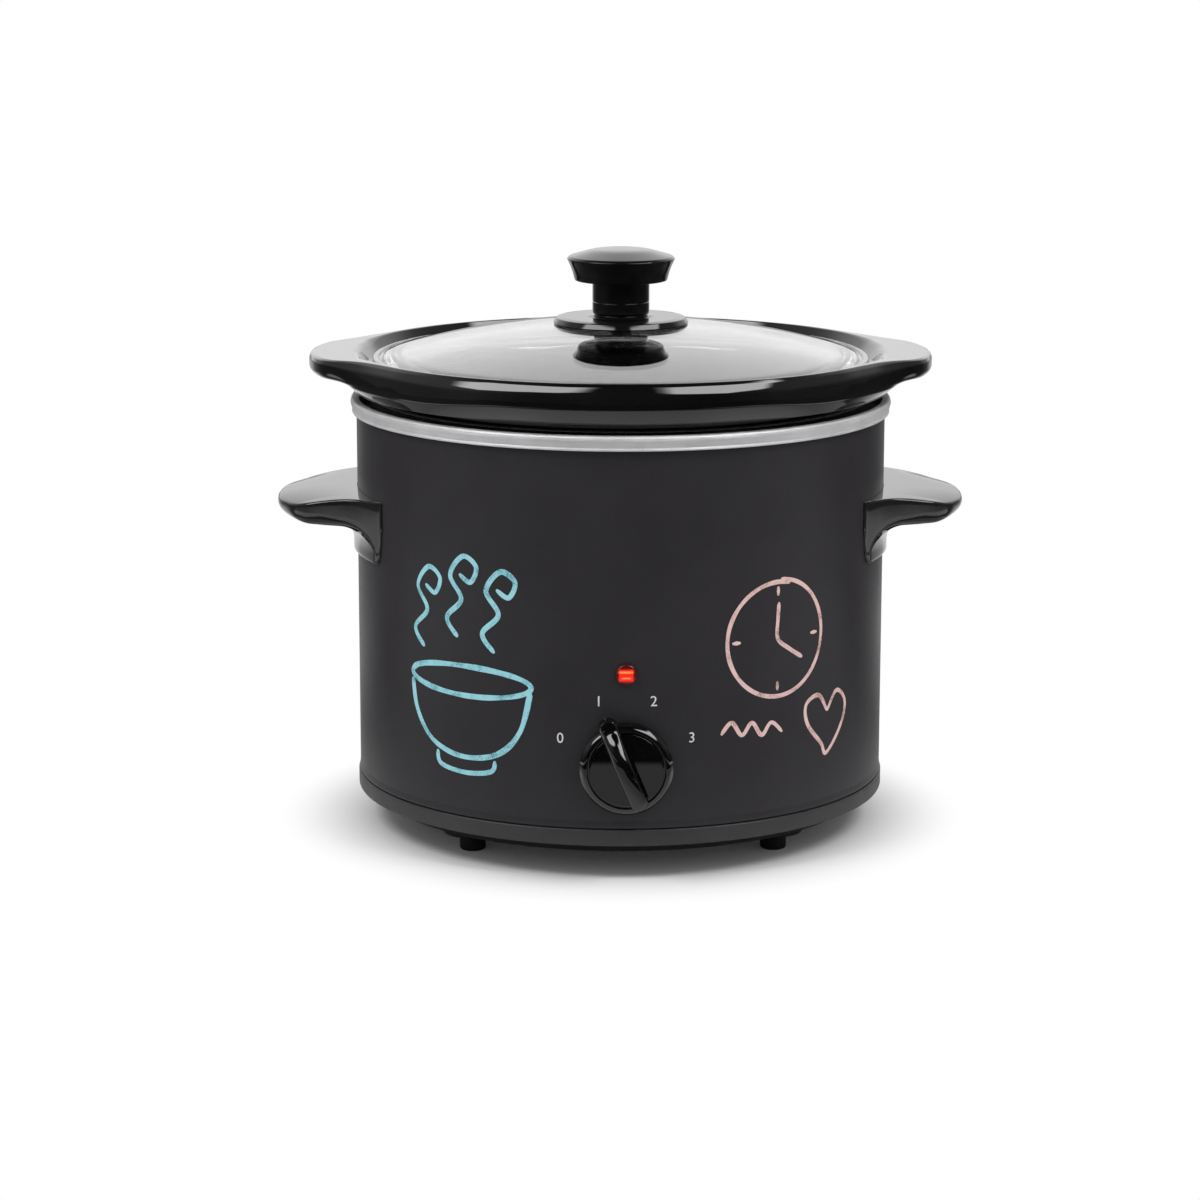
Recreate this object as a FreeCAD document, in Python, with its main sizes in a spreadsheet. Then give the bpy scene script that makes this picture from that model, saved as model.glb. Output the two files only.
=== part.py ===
import FreeCAD, Part
import math
import os
import types

import Sketcher

# Round electric slow cooker of about 3.5 litres, in millimetres.
# The drum's axis is the Z axis, +Z is up, the feet stand on Z = 0 and the dial faces -Y.

SIZES = {
    # steel drum
    "drum_radius": 120.0,
    "shell_wall": 0.8,
    "shell_height": 171.1,
    "hem_flare": 0.6,
    "hem_height": 1.4,
    # clearances between pieces
    "seat_gap": 0.15,
    "loose_gap": 0.3,
    # moulded base
    "trim_bottom": 15.4,
    "trim_height": 7.4,
    "trim_proud": 0.75,
    "pan_inset": 14.0,
    "pan_bottom": 10.5,
    "pan_wall": 2.5,
    "pan_slope": 4.0,
    "rib_height": 7.2,
    "rib_wall": 2.4,
    "boss_radius": 13.0,
    "boss_bottom": 8.0,
    "vent_circle": 62.0,
    "vent_length": 26.0,
    "vent_width": 4.0,
    # push-in rubber feet
    "foot_radius": 5.8,
    "foot_edge": 0.8,
    "foot_inset": 11.0,
    "foot_stem_radius": 3.0,
    "foot_barb_height": 3.0,
    "foot_barb_proud": 1.4,
    # aluminium well and its rolled lip
    "liner_gap": 16.0,
    "liner_wall": 1.0,
    "liner_corner": 8.0,
    "liner_clearance": 2.8,
    "lip_drop": 6.6,
    "lip_bulge": 2.7,
    "lip_bulge_drop": 2.6,
    "lip_edge": 1.9,
    "lip_round": 2.6,
    # stoneware crock
    "crock_play": 1.7,
    "crock_wall": 6.5,
    "crock_floor": 7.5,
    "crock_floor_gap": 4.0,
    "crock_draft": 3.0,
    "crock_corner": 12.0,
    "crock_foot_inset": 6.0,
    "crock_foot_height": 1.0,
    "flange_overhang": 5.0,
    "flange_lift": 3.8,
    "flange_step_inset": 13.0,
    "flange_height": 17.1,
    "flange_edge_inset": 3.0,
    "flange_edge_rise": 0.8,
    "flange_waist": 6.0,
    "crest_inset": 5.2,
    "crest_drop": 3.4,
    "crest_land": 4.2,
    "seat_depth": 8.2,
    "mouth_round": 4.0,
    "ear_reach": 16.4,
    "ear_end_half": 34.0,
    "ear_end_inset": 7.2,
    "ear_root_half": 62.0,
    "ear_root_inset": 21.0,
    "ear_shoulder": 24.0,
    "ear_drop": 1.5,
    "ear_thickness": 10.0,
    "ear_round": 3.0,
    "ear_under_round": 6.0,
    # glass lid
    "lid_play": 2.0,
    "lid_wall": 4.0,
    "lid_rise": 20.0,
    "lid_rim_width": 6.5,
    "lid_rim_height": 4.2,
    "lid_edge": 1.8,
    "lid_hole_radius": 4.0,
    # lid knob
    "collar_radius": 30.6,
    "collar_edge": 1.8,
    "collar_crown": 2.8,
    "collar_rim": 2.2,
    "seal_wall": 0.8,
    "seal_radius": 11.0,
    "spigot_rise": 3.5,
    "spigot_step": 0.8,
    "stem_radius": 13.0,
    "stem_height": 15.0,
    "stem_groove_height": 5.6,
    "stem_groove": 0.4,
    "cap_bottom_radius": 21.1,
    "cap_radius": 24.4,
    "cap_height": 10.0,
    "cap_crown": 4.8,
    "cap_edge": 0.8,
    "cap_flare": 60.0,
    "knob_screw_radius": 2.4,
    "knob_screw_bite": 17.0,
    "knob_head_radius": 4.6,
    "knob_head_height": 2.8,
    "knob_washer_radius": 8.5,
    "knob_washer_wall": 1.1,
    # dial and rotary switch
    "dial_rise": 28.4,
    "dial_gap": 1.2,
    "dial_radius": 20.25,
    "dial_depth": 8.2,
    "dial_edge": 1.4,
    "dial_round": 2.2,
    "dial_groove_radius": 16.0,
    "dial_groove_width": 0.7,
    "dial_groove_depth": 1.1,
    "dial_pocket_radius": 9.0,
    "dial_bore_depth": 12.0,
    "bar_half_width": 4.4,
    "bar_up": 25.0,
    "bar_down": 17.8,
    "bar_end": 3.4,
    "bar_height": 11.0,
    "bar_round": 2.6,
    "spindle_radius": 3.0,
    "spindle_flat": 2.2,
    "running_gap": 0.05,
    "spring_wall": 0.5,
    "spring_width": 2.4,
    "bushing_radius": 5.0,
    "bushing_proud": 3.6,
    "nut_flats": 14.0,
    "nut_height": 2.2,
    "switch_width": 30.0,
    "switch_height": 28.0,
    "switch_depth": 20.0,
    "switch_front": 4.0,
    "switch_back_wall": 2.0,
    "rotor_radius": 9.0,
    "rotor_height": 6.0,
    "terminal_width": 6.3,
    "terminal_length": 9.0,
    "terminal_wall": 0.8,
    "terminal_pitch": 9.0,
    # indicator lamp
    "lamp_rise": 40.6,
    "lens_radius": 4.7,
    "lens_dome": 2.2,
    "lens_edge": 0.8,
    "lens_body_radius": 3.9,
    "lens_length": 8.0,
    "lens_wall": 1.0,
    "bulb_radius": 2.3,
    "bulb_length": 8.0,
    "clip_radius": 6.4,
    "clip_wall": 0.6,
    # side handles
    "handle_drop": 39.7,
    "handle_overhang": 36.3,
    "handle_thickness": 12.4,
    "handle_droop": 11.7,
    "handle_end_half": 36.5,
    "handle_end_inset": 12.2,
    "handle_waist_half": 44.0,
    "handle_root_half": 58.0,
    "handle_root_inset": 20.0,
    "handle_corner": 26.0,
    "handle_neck": 24.0,
    "handle_fillet": 11.0,
    "handle_plate": 1.8,
    "plate_height": 28.0,
    "plate_foot_half": 49.0,
    "plate_foot_rise": 0.4,
    "handle_ridge": 2.4,
    "handle_under_round": 1.0,
    "handle_screw_radius": 2.0,
    "handle_screw_bite": 15.0,
    "handle_screw_drop": 6.6,
    "handle_screw_spread": 28.0,
    "screw_head_radius": 3.8,
    "screw_head_height": 2.4,
    "washer_radius": 5.0,
    "washer_wall": 0.8,
    # heater band and cut-out
    "band_wall": 1.6,
    "band_height": 45.0,
    "band_over_lamp": 13.0,
    "band_slot": 12.0,
    "band_tab": 9.0,
    "band_tab_wall": 1.2,
    "clamp_screw_radius": 2.0,
    "clamp_screw_length": 20.0,
    "clamp_nut_flats": 7.0,
    "clamp_nut_height": 3.2,
    "fuse_radius": 2.2,
    "fuse_length": 12.0,
    "fuse_offset": 30.0,
    "fuse_clip_width": 7.0,
    "fuse_clip_wall": 1.4,
    # centre stud, earth tag, terminal block, cord inlet, wiring
    "stud_radius": 2.5,
    "stud_tail": 5.0,
    "stud_nut_flats": 8.0,
    "stud_nut_height": 3.4,
    "stud_washer_radius": 7.0,
    "stud_washer_wall": 1.0,
    "tag_radius": 5.0,
    "tag_wall": 0.8,
    "tag_length": 14.0,
    "block_length": 30.0,
    "block_width": 16.0,
    "block_height": 13.0,
    "block_back": 62.0,
    "block_screw_radius": 2.0,
    "block_screw_pitch": 9.0,
    "inlet_rise": 24.0,
    "bush_radius": 9.0,
    "bush_body_radius": 7.0,
    "bush_bore_radius": 3.8,
    "bush_flange": 2.2,
    "bush_grip": 2.4,
    "lead_radius": 1.2,
}

FOOT_ANGLES = {"front_left": 225, "front_right": 315, "rear_left": 135, "rear_right": 45}
VENT_COUNT = 8
DIAL_REST_ANGLE = 22.5
HOLE_REACH = 30.0

UP = FreeCAD.Vector(0, 0, 1)
FRONT = FreeCAD.Vector(0, -1, 0)
BACK = FreeCAD.Vector(0, 1, 0)
RIGHT = FreeCAD.Vector(1, 0, 0)

doc = FreeCAD.newDocument("slow_cooker")
sheet = doc.addObject("Spreadsheet::Sheet", "Sizes")
for row, (alias, size) in enumerate(SIZES.items(), start=1):
    sheet.set(f"A{row}", alias)
    sheet.set(f"B{row}", str(size))
    sheet.setAlias(f"B{row}", alias)
doc.recompute()

NODES = {}


class Dim:
    """A length that carries both its number and the sheet expression that gives it."""

    def __init__(self, number, text):
        self.number = number
        self.text = text

    def __add__(self, other):
        other = dim(other)
        return Dim(self.number + other.number, f"({self.text} + {other.text})")

    def __sub__(self, other):
        other = dim(other)
        return Dim(self.number - other.number, f"({self.text} - {other.text})")

    def __mul__(self, other):
        other = dim(other)
        return Dim(self.number * other.number, f"({self.text} * {other.text})")

    def __truediv__(self, other):
        other = dim(other)
        return Dim(self.number / other.number, f"({self.text} / {other.text})")

    def __neg__(self):
        return Dim(-self.number, f"(0 - {self.text})")


def dim(value):
    if isinstance(value, Dim):
        return value
    if value < 0:
        return Dim(float(value), f"(0 - {-float(value)})")
    return Dim(float(value), f"{float(value)}")


def root(value):
    return Dim(math.sqrt(value.number), f"sqrt({value.text})")


def arc_radius(half_chord, rise):
    """Radius of the arc that rises by this much over a chord of twice half_chord."""
    return (half_chord * half_chord + rise * rise) / (rise * 2)


def sag(radius, reach):
    """How far a round surface falls away at this distance from where it is touched."""
    return radius - root(radius * radius - reach * reach)


s = types.SimpleNamespace(**{alias: Dim(float(sheet.get(alias)), f"Sizes.{alias}") for alias in SIZES})

# Heights and radii that several pieces share, worked out from the sizes.
trim_top = s.trim_bottom + s.trim_height
shell_top = trim_top + s.shell_height
shell_inside = s.drum_radius - s.shell_wall
lip_top = shell_top + s.loose_gap + s.liner_wall
pan_radius = s.drum_radius - s.pan_inset
pan_floor = s.pan_bottom + s.pan_wall
foot_circle = pan_radius - s.foot_inset
dial_height = trim_top + s.dial_rise
lamp_height = dial_height + s.lamp_rise
liner_inside = s.drum_radius - s.liner_gap
liner_outside = liner_inside + s.liner_wall
liner_bottom = dial_height + s.switch_height / 2 + s.liner_clearance
liner_floor = liner_bottom + s.liner_wall
crock_outside = liner_inside - s.crock_play
crock_inside = crock_outside - s.crock_wall
crock_bottom = liner_floor + s.crock_floor_gap
step_bottom = lip_top + s.loose_gap
flange_bottom = step_bottom + s.flange_lift
flange_radius = s.drum_radius + s.flange_overhang
crest = flange_bottom + s.flange_height
crest_radius = flange_radius - s.crest_inset
seat = crest - s.seat_depth
seat_radius = crest_radius - s.crest_land
lid_radius = seat_radius - s.lid_play
lid_bottom = seat + s.loose_gap
lid_top = lid_bottom + s.lid_rise
lid_shoulder = lid_bottom + s.lid_rim_height
dome_base = lid_radius - s.lid_edge
dome_radius = arc_radius(dome_base, lid_top - lid_shoulder)
collar_bottom = lid_top - sag(dome_radius, s.collar_radius) + s.loose_gap
spigot_top = lid_top + s.spigot_rise
stem_bottom = spigot_top + s.seat_gap
cap_bottom = stem_bottom + s.stem_height
inlet_height = trim_top + s.inlet_rise
handle_top = shell_top - s.handle_drop
handle_under = handle_top - s.handle_thickness
switch_face = root(shell_inside * shell_inside - s.switch_width * s.switch_width / 4) - s.seat_gap
switch_rear = switch_face - s.switch_depth
dial_back = s.drum_radius + s.dial_gap


def bind(obj, **sizes):
    for prop, value in sizes.items():
        obj.setExpression(prop, dim(value).text)
    return obj


def put(obj, x=0, y=0, z=0, facing=UP):
    """Places a piece with its own Z axis along facing."""
    at = [dim(value) for value in (x, y, z)]
    base = FreeCAD.Vector(*[value.number for value in at])
    obj.Placement = FreeCAD.Placement(base, FreeCAD.Rotation(UP, facing))
    for axis, value in zip("xyz", at):
        obj.setExpression(f"Placement.Base.{axis}", value.text)
    return obj


def node(label, obj):
    obj.Label = label
    NODES[label] = obj
    return obj


def plane_of(body, role):
    return [feature for feature in body.Origin.OriginFeatures if feature.Role == role][0]


def side(start, end, radius):
    """One side of an outline: a line, or an arc that bulges left (radius > 0) or right of its way."""
    if radius is None:
        return Part.LineSegment(start, end), 1, 2
    chord = end - start
    left = FreeCAD.Vector(-chord.y, chord.x, 0).normalize()
    size = abs(radius.number)
    to_centre = math.sqrt(max(size * size - chord.Length ** 2 / 4, 0))
    clockwise = radius.number > 0
    centre = (start + end) * 0.5 + left * (-to_centre if clockwise else to_centre)
    first, last = (end, start) if clockwise else (start, end)
    angles = [math.atan2(point.y - centre.y, point.x - centre.x) for point in (first, last)]
    if angles[1] < angles[0]:
        angles[1] += 2 * math.pi
    arc = Part.ArcOfCircle(Part.Circle(centre, UP, size), *angles)
    return (arc, 2, 1) if clockwise else (arc, 1, 2)


def outline(body, name, corners, plane="XZ_Plane", level=None):
    """A closed sketch. A corner is (across, up) or (across, up, radius of the arc that leaves it)."""
    sketch = body.newObject("Sketcher::SketchObject", name)
    sketch.AttachmentSupport = [(plane_of(body, plane), "")]
    sketch.MapMode = "FlatFace"
    if level is not None:
        bind(sketch, **{"AttachmentOffset.Base.z": level})
    points = [[dim(value) for value in corner[:2]] for corner in corners]
    radii = [corner[2] if len(corner) > 2 else None for corner in corners]
    vectors = [FreeCAD.Vector(across.number, up.number, 0) for across, up in points]
    ends = []
    for index, radius in enumerate(radii):
        curve, first, last = side(vectors[index], vectors[(index + 1) % len(vectors)], radius)
        ends.append((sketch.addGeometry(curve), first, last))
    for index, (curve, first, last) in enumerate(ends):
        following, entry, _ = ends[(index + 1) % len(ends)]
        sketch.addConstraint(Sketcher.Constraint("Coincident", curve, last, following, entry))
    for (curve, first, _), (across, up), radius in zip(ends, points, radii):
        for kind, value, axis in (("DistanceX", across, -2), ("DistanceY", up, -1)):
            if value.number == 0:
                sketch.addConstraint(Sketcher.Constraint("PointOnObject", curve, first, axis))
            else:
                rule = Sketcher.Constraint(kind, -1, 1, curve, first, value.number)
                bind(sketch, **{f"Constraints[{sketch.addConstraint(rule)}]": value})
        if radius is not None:
            rule = Sketcher.Constraint("Radius", curve, abs(radius.number))
            length = radius if radius.number > 0 else -radius
            bind(sketch, **{f"Constraints[{sketch.addConstraint(rule)}]": length})
    return sketch


def turned(name, corners):
    """A body turned about its own Z axis from a half section of (radius, height) corners."""
    body = doc.addObject("PartDesign::Body", name)
    turn = body.newObject("PartDesign::Revolution", f"{name}_turn")
    turn.Profile = outline(body, f"{name}_section", corners)
    turn.ReferenceAxis = (turn.Profile[0], ["V_Axis"])
    turn.Angle = 360
    return body


def pad(body, name, corners, bottom, height, plane="XY_Plane"):
    """Adds a prism of this outline to the body, from bottom upwards."""
    prism = body.newObject("PartDesign::Pad", f"{name}_pad")
    prism.Profile = outline(body, f"{name}_outline", corners, plane, bottom)
    return bind(prism, Length=height)


def prism(name, corners, bottom, height, plane="XY_Plane"):
    body = doc.addObject("PartDesign::Body", name)
    pad(body, name, corners, bottom, height, plane)
    return body


def fillet(body, name, radius, test):
    """Rounds the edges of the body's last feature that pass the test, and checks that some did."""
    doc.recompute()
    last = body.Tip
    picked = [f"Edge{i}" for i, edge in enumerate(last.Shape.Edges, start=1) if test(edge)]
    if not picked:
        raise RuntimeError(f"no edge to round for {name}")
    rounding = body.newObject("PartDesign::Fillet", name)
    rounding.Base = (last, picked)
    return bind(rounding, Radius=radius)


def cylinder(name, radius, height, x=0, y=0, z=0, facing=UP):
    return put(bind(doc.addObject("Part::Cylinder", name), Radius=radius, Height=height), x, y, z, facing)


def box(name, length, width, height, x=0, y=0, z=0):
    """A block of this size, given its lowest corner."""
    block = doc.addObject("Part::Box", name)
    return put(bind(block, Length=length, Width=width, Height=height), x, y, z)


def hexagon(name, flats, height, x=0, y=0, z=0, facing=UP):
    block = doc.addObject("Part::Prism", name)
    block.Polygon = 6
    return put(bind(block, Circumradius=flats / math.sqrt(3), Height=height), x, y, z, facing)


def fuse(name, pieces):
    whole = doc.addObject("Part::MultiFuse", name)
    whole.Shapes = pieces
    return whole


def group(name, pieces):
    whole = doc.addObject("Part::Compound", name)
    whole.Links = pieces
    return whole


def cut(name, base, tools):
    result = doc.addObject("Part::Cut", name)
    result.Base = base
    result.Tool = tools[0] if len(tools) == 1 else fuse(f"{name}_tools", tools)
    return result


def ring(name, outer, inner, height, x=0, y=0, z=0, facing=UP):
    """A flat washer or tube; the hole's tool runs a little past both faces."""
    past = dim(1)
    back = FreeCAD.Vector(*facing) * -past.number
    hole = cylinder(f"{name}_hole", inner, height + past * 2, *[
        dim(at) + step for at, step in zip((x, y, z), back)
    ], facing)
    return cut(name, cylinder(f"{name}_disc", outer, height, x, y, z, facing), [hole])


def radial(angle):
    turn = math.radians(angle)
    return FreeCAD.Vector(math.cos(turn), math.sin(turn), 0)


def spoke(name, radius, start, length, angle, height):
    """A cylinder along a radius of the drum, from this distance off the axis outwards."""
    way = radial(angle)
    return cylinder(name, radius, length, start * way.x, start * way.y, height, way)


def is_ring(edge, radius, height):
    """True for a full or part circle about the Z axis at this radius and height."""
    curve = edge.Curve
    if not isinstance(curve, Part.Circle):
        return False
    off = math.hypot(curve.Center.x, curve.Center.y) + abs(curve.Center.z - height.number)
    return off + abs(curve.Radius - radius.number) < 0.01


def handle_screw_angles(facing_angle):
    tilt = math.degrees(math.asin(s.handle_screw_spread.number / s.drum_radius.number))
    return facing_angle - tilt, facing_angle + tilt


def outer_shell():
    """Rolled steel drum with a flared hem that sits on the base's trim, and its punched holes."""
    outer, inner = s.drum_radius, shell_inside
    flare_top = trim_top + s.hem_height * 2
    drum = turned("outer_shell_drum", [
        (inner + s.hem_flare, trim_top),
        (outer + s.hem_flare, trim_top),
        (outer + s.hem_flare, trim_top + s.hem_height),
        (outer, flare_top),
        (outer, shell_top),
        (inner, shell_top),
        (inner, flare_top),
        (inner + s.hem_flare, trim_top + s.hem_height),
    ])
    near = s.drum_radius - HOLE_REACH / 2
    holes = [
        spoke("dial_hole", s.bushing_radius + s.seat_gap, near, HOLE_REACH, 270, dial_height),
        spoke("lamp_hole", s.lens_body_radius + s.seat_gap, near, HOLE_REACH, 270, lamp_height),
        spoke("inlet_hole", s.bush_body_radius + s.seat_gap, near, HOLE_REACH, 90, inlet_height),
    ]
    for facing_angle in (0, 180):
        for angle in handle_screw_angles(facing_angle):
            holes.append(spoke(
                f"shell_screw_hole_{angle:.0f}", s.handle_screw_radius + s.seat_gap, near, HOLE_REACH,
                angle, handle_top - s.handle_screw_drop,
            ))
    return cut("outer_shell", drum, holes)


def heating_liner():
    """Spun aluminium well: floor, wall, flat shoulder and a lip rolled down over the drum's top edge."""
    wall = s.liner_wall
    lip_bottom = lip_top - s.lip_drop
    widest = s.drum_radius + s.lip_bulge
    bulge = lip_top - s.lip_bulge_drop
    edge = s.drum_radius + s.lip_edge
    body = turned("heating_liner", [
        (0, liner_bottom),
        (liner_outside - s.liner_corner, liner_bottom, -(s.liner_corner)),
        (liner_outside, liner_bottom + s.liner_corner),
        (liner_outside, lip_top - wall),
        (widest - s.lip_round, lip_top - wall, s.lip_round - wall),
        (widest - wall, bulge),
        (edge - wall, lip_bottom),
        (edge, lip_bottom),
        (widest, bulge, -(s.lip_round)),
        (widest - s.lip_round, lip_top),
        (liner_inside, lip_top),
        (liner_inside, liner_floor + s.liner_corner - wall, s.liner_corner - wall),
        (liner_inside - s.liner_corner + wall, liner_floor),
        (0, liner_floor),
    ])
    return body


def base_plate():
    """Moulded base: pan, sloped skirt, trim band and locating rib, with foot bosses, vents and a stud hole."""
    hole = s.stud_radius + s.seat_gap
    rib = shell_inside - s.loose_gap
    trim = s.drum_radius + s.trim_proud
    slope_top = pan_radius + s.pan_slope
    ledge = s.trim_bottom + s.pan_wall
    body = turned("base_plate_pan", [
        (hole, s.pan_bottom),
        (pan_radius, s.pan_bottom),
        (slope_top, s.trim_bottom),
        (trim, s.trim_bottom),
        (trim, trim_top),
        (rib, trim_top),
        (rib, trim_top + s.rib_height),
        (rib - s.rib_wall, trim_top + s.rib_height),
        (rib - s.rib_wall, ledge),
        (slope_top - s.pan_wall / 2, ledge),
        (pan_radius - s.pan_wall / 2, pan_floor),
        (hole, pan_floor),
    ])
    bosses = []
    holes = []
    for name, angle in FOOT_ANGLES.items():
        way = radial(angle)
        place = (foot_circle * way.x, foot_circle * way.y)
        bosses.append(cylinder(
            f"boss_{name}", s.boss_radius, pan_floor - s.boss_bottom, *place, s.boss_bottom
        ))
        holes.append(cylinder(
            f"foot_hole_{name}", s.foot_stem_radius + s.seat_gap, pan_floor, *place, s.boss_bottom - 1
        ))
    for index in range(VENT_COUNT):
        angle = 360 * (index + 0.5) / VENT_COUNT
        slot = box(f"vent_{index}", s.vent_length, s.vent_width, pan_floor)
        half_width = s.vent_width / 2
        start = s.vent_circle - s.vent_length / 2
        way = radial(angle)
        across = radial(angle - 90)
        slot = put(
            slot, start * way.x + half_width * across.x, start * way.y + half_width * across.y, s.boss_bottom - 1
        )
        slot.Placement = FreeCAD.Placement(slot.Placement.Base, FreeCAD.Rotation(UP, angle))
        holes.append(slot)
    return cut("base_plate", fuse("base_plate_solid", [body] + bosses), holes)


def foot(name, angle):
    """Rubber foot with a stem through its boss and a barb over the pan's floor."""
    way = radial(angle)
    top = s.boss_bottom
    barb = pan_floor + s.seat_gap
    body = turned(name, [
        (0, 0),
        (s.foot_radius - s.foot_edge, 0),
        (s.foot_radius, s.foot_edge),
        (s.foot_radius, top),
        (s.foot_stem_radius, top),
        (s.foot_stem_radius, barb),
        (s.foot_stem_radius + s.foot_barb_proud, barb),
        (s.foot_stem_radius, barb + s.foot_barb_height),
        (0, barb + s.foot_barb_height),
    ])
    return put(body, foot_circle * way.x, foot_circle * way.y, 0)


def ear(name, way):
    """One of the crock's lifting ears: a rounded lug that runs well into the flange."""
    top = crest - s.ear_drop
    bottom = top - s.ear_thickness
    end = flange_radius + s.ear_reach - s.ear_end_inset
    inner = flange_radius - s.ear_root_inset
    half = s.ear_end_half * way
    root_half = s.ear_root_half * way
    body = prism(name, [
        (inner * way, -root_half),
        (end * way, -half, -arc_radius(s.ear_end_half, s.ear_end_inset)),
        (end * way, half),
        (inner * way, root_half),
    ], bottom, s.ear_thickness)

    def is_shoulder(edge):
        upright = abs(edge.Vertexes[0].Z - edge.Vertexes[-1].Z) > 0.01
        return upright and abs(abs(edge.CenterOfMass.x) - end.number) < 0.01

    def is_rim(level):
        return lambda edge: (
            all(abs(vertex.Z - level.number) < 0.01 for vertex in edge.Vertexes)
            and abs(edge.CenterOfMass.x) > inner.number + 0.01
        )

    fillet(body, f"{name}_shoulders", s.ear_shoulder, is_shoulder)
    fillet(body, f"{name}_under_rim", s.ear_under_round, is_rim(bottom))
    fillet(body, f"{name}_top_rim", s.ear_round, is_rim(top))
    return body


def crock():
    """Glazed stoneware pot: turned wall, resting step and flange, two ears, and the cavity with the lid's seat."""
    foot_radius = crock_outside - s.crock_draft - s.crock_corner
    edge = flange_radius - s.flange_edge_inset
    step = flange_radius - s.flange_step_inset
    outer = turned("crock_outer", [
        (0, crock_bottom + s.crock_foot_height),
        (foot_radius - s.crock_foot_inset, crock_bottom + s.crock_foot_height),
        (foot_radius - s.crock_foot_inset + s.crock_foot_height, crock_bottom),
        (foot_radius, crock_bottom, -(s.crock_corner)),
        (foot_radius + s.crock_corner, crock_bottom + s.crock_corner),
        (crock_outside, step_bottom),
        (step, step_bottom),
        (step, flange_bottom),
        (edge - s.flange_edge_rise, flange_bottom),
        (edge, flange_bottom + s.flange_edge_rise),
        (flange_radius, flange_bottom + s.flange_waist),
        (flange_radius, crest - s.crest_drop, -(s.crest_drop)),
        (flange_radius - s.crest_drop, crest),
        (0, crest),
    ])
    floor = crock_bottom + s.crock_floor
    inner_foot = crock_inside - s.crock_draft - s.crock_corner
    cavity = turned("crock_cavity", [
        (0, floor),
        (inner_foot, floor, -(s.crock_corner)),
        (inner_foot + s.crock_corner, floor + s.crock_corner),
        (crock_inside, seat - s.mouth_round, s.mouth_round * 1),
        (crock_inside + s.mouth_round, seat),
        (seat_radius, seat),
        (crest_radius, crest),
        (crest_radius, crest + 1),
        (0, crest + 1),
    ])
    return cut("crock", fuse("crock_solid", [outer, ear("right_ear", 1), ear("left_ear", -1)]), [cavity])


def lid_glass():
    """Toughened glass dome of even thickness with a rounded rim and a hole for the knob's screw."""
    inner_top = lid_top - s.lid_wall
    inner_radius = dome_radius - s.lid_wall
    rim_inside = lid_radius - s.lid_edge - s.lid_rim_width
    inner_edge = inner_top - sag(inner_radius, rim_inside - s.lid_edge)
    return turned("lid_glass", [
        (s.lid_hole_radius, inner_top - sag(inner_radius, s.lid_hole_radius), inner_radius),
        (rim_inside - s.lid_edge, inner_edge),
        (rim_inside, lid_bottom),
        (lid_radius - s.lid_edge, lid_bottom, -arc_radius(s.lid_rim_height / 2, s.lid_edge)),
        (lid_radius - s.lid_edge, lid_shoulder, -(dome_radius)),
        (s.lid_hole_radius, lid_top - sag(dome_radius, s.lid_hole_radius)),
    ])


def knob_collar():
    """Moulded disc that spreads the knob's load on the glass, with a spigot under the stem."""
    hole = s.knob_screw_radius + s.seat_gap
    under = lid_top + s.seat_gap * 2 + s.seal_wall
    edge = lid_top + s.collar_edge
    inner = s.collar_radius - s.collar_rim
    return turned("knob_collar", [
        (hole, under),
        (inner - s.collar_rim / 2, under),
        (inner, collar_bottom),
        (s.collar_radius - s.stem_groove, collar_bottom),
        (s.collar_radius, collar_bottom + s.stem_groove),
        (s.collar_radius, edge - s.stem_groove),
        (s.collar_radius - s.stem_groove, edge),
        (s.stem_radius, lid_top + s.collar_crown),
        (s.stem_radius - s.spigot_step, lid_top + s.collar_crown),
        (s.stem_radius - s.spigot_step, spigot_top),
        (hole, spigot_top),
    ])


def knob_seal():
    """Silicone washer between the collar and the glass."""
    return ring(
        "knob_seal", s.seal_radius, s.knob_screw_radius + s.seat_gap, s.seal_wall, z=lid_top + s.seat_gap
    )


def knob_grip():
    """Moulded knob: grooved stem, flared cap with a domed top, and a blind hole for the screw."""
    hole = s.knob_screw_radius + s.seat_gap
    blind = stem_bottom + s.knob_screw_bite + s.loose_gap
    groove = stem_bottom + s.stem_groove_height
    stem, nick = s.stem_radius, s.stem_groove
    rim = cap_bottom + s.cap_height
    return turned("knob_grip", [
        (hole, stem_bottom),
        (stem - nick, stem_bottom),
        (stem, stem_bottom + nick),
        (stem, groove - nick),
        (stem - nick, groove),
        (stem, groove + nick),
        (stem, cap_bottom),
        (s.cap_bottom_radius - s.cap_edge, cap_bottom),
        (s.cap_bottom_radius, cap_bottom + s.cap_edge, s.cap_flare),
        (s.cap_radius, rim - s.cap_edge),
        (s.cap_radius, rim, -arc_radius(s.cap_radius, s.cap_crown)),
        (0, rim + s.cap_crown),
        (0, blind),
        (hole, blind),
    ])


def knob_screw():
    """Pan-head screw from under the glass up into the knob."""
    shoulder = lid_top - s.lid_wall - s.knob_washer_wall - s.seat_gap * 2
    head = cylinder("knob_screw_head", s.knob_head_radius, s.knob_head_height, z=shoulder - s.knob_head_height)
    length = stem_bottom + s.knob_screw_bite - shoulder
    shank = cylinder("knob_screw_shank", s.knob_screw_radius, length, z=shoulder)
    slot_depth = s.knob_head_height / 2
    slot = box(
        "knob_screw_slot", s.knob_head_radius * 3, s.seal_wall, slot_depth,
        s.knob_head_radius * -1.5, s.seal_wall / -2, shoulder - s.knob_head_height,
    )
    return cut("knob_screw", fuse("knob_screw_blank", [head, shank]), [slot])


def screw_washer():
    """Steel washer between the screw's head and the inside of the glass."""
    top = lid_top - s.lid_wall - s.seat_gap
    return ring(
        "screw_washer", s.knob_washer_radius, s.knob_screw_radius + s.seat_gap, s.knob_washer_wall,
        z=top - s.knob_washer_wall,
    )


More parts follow.
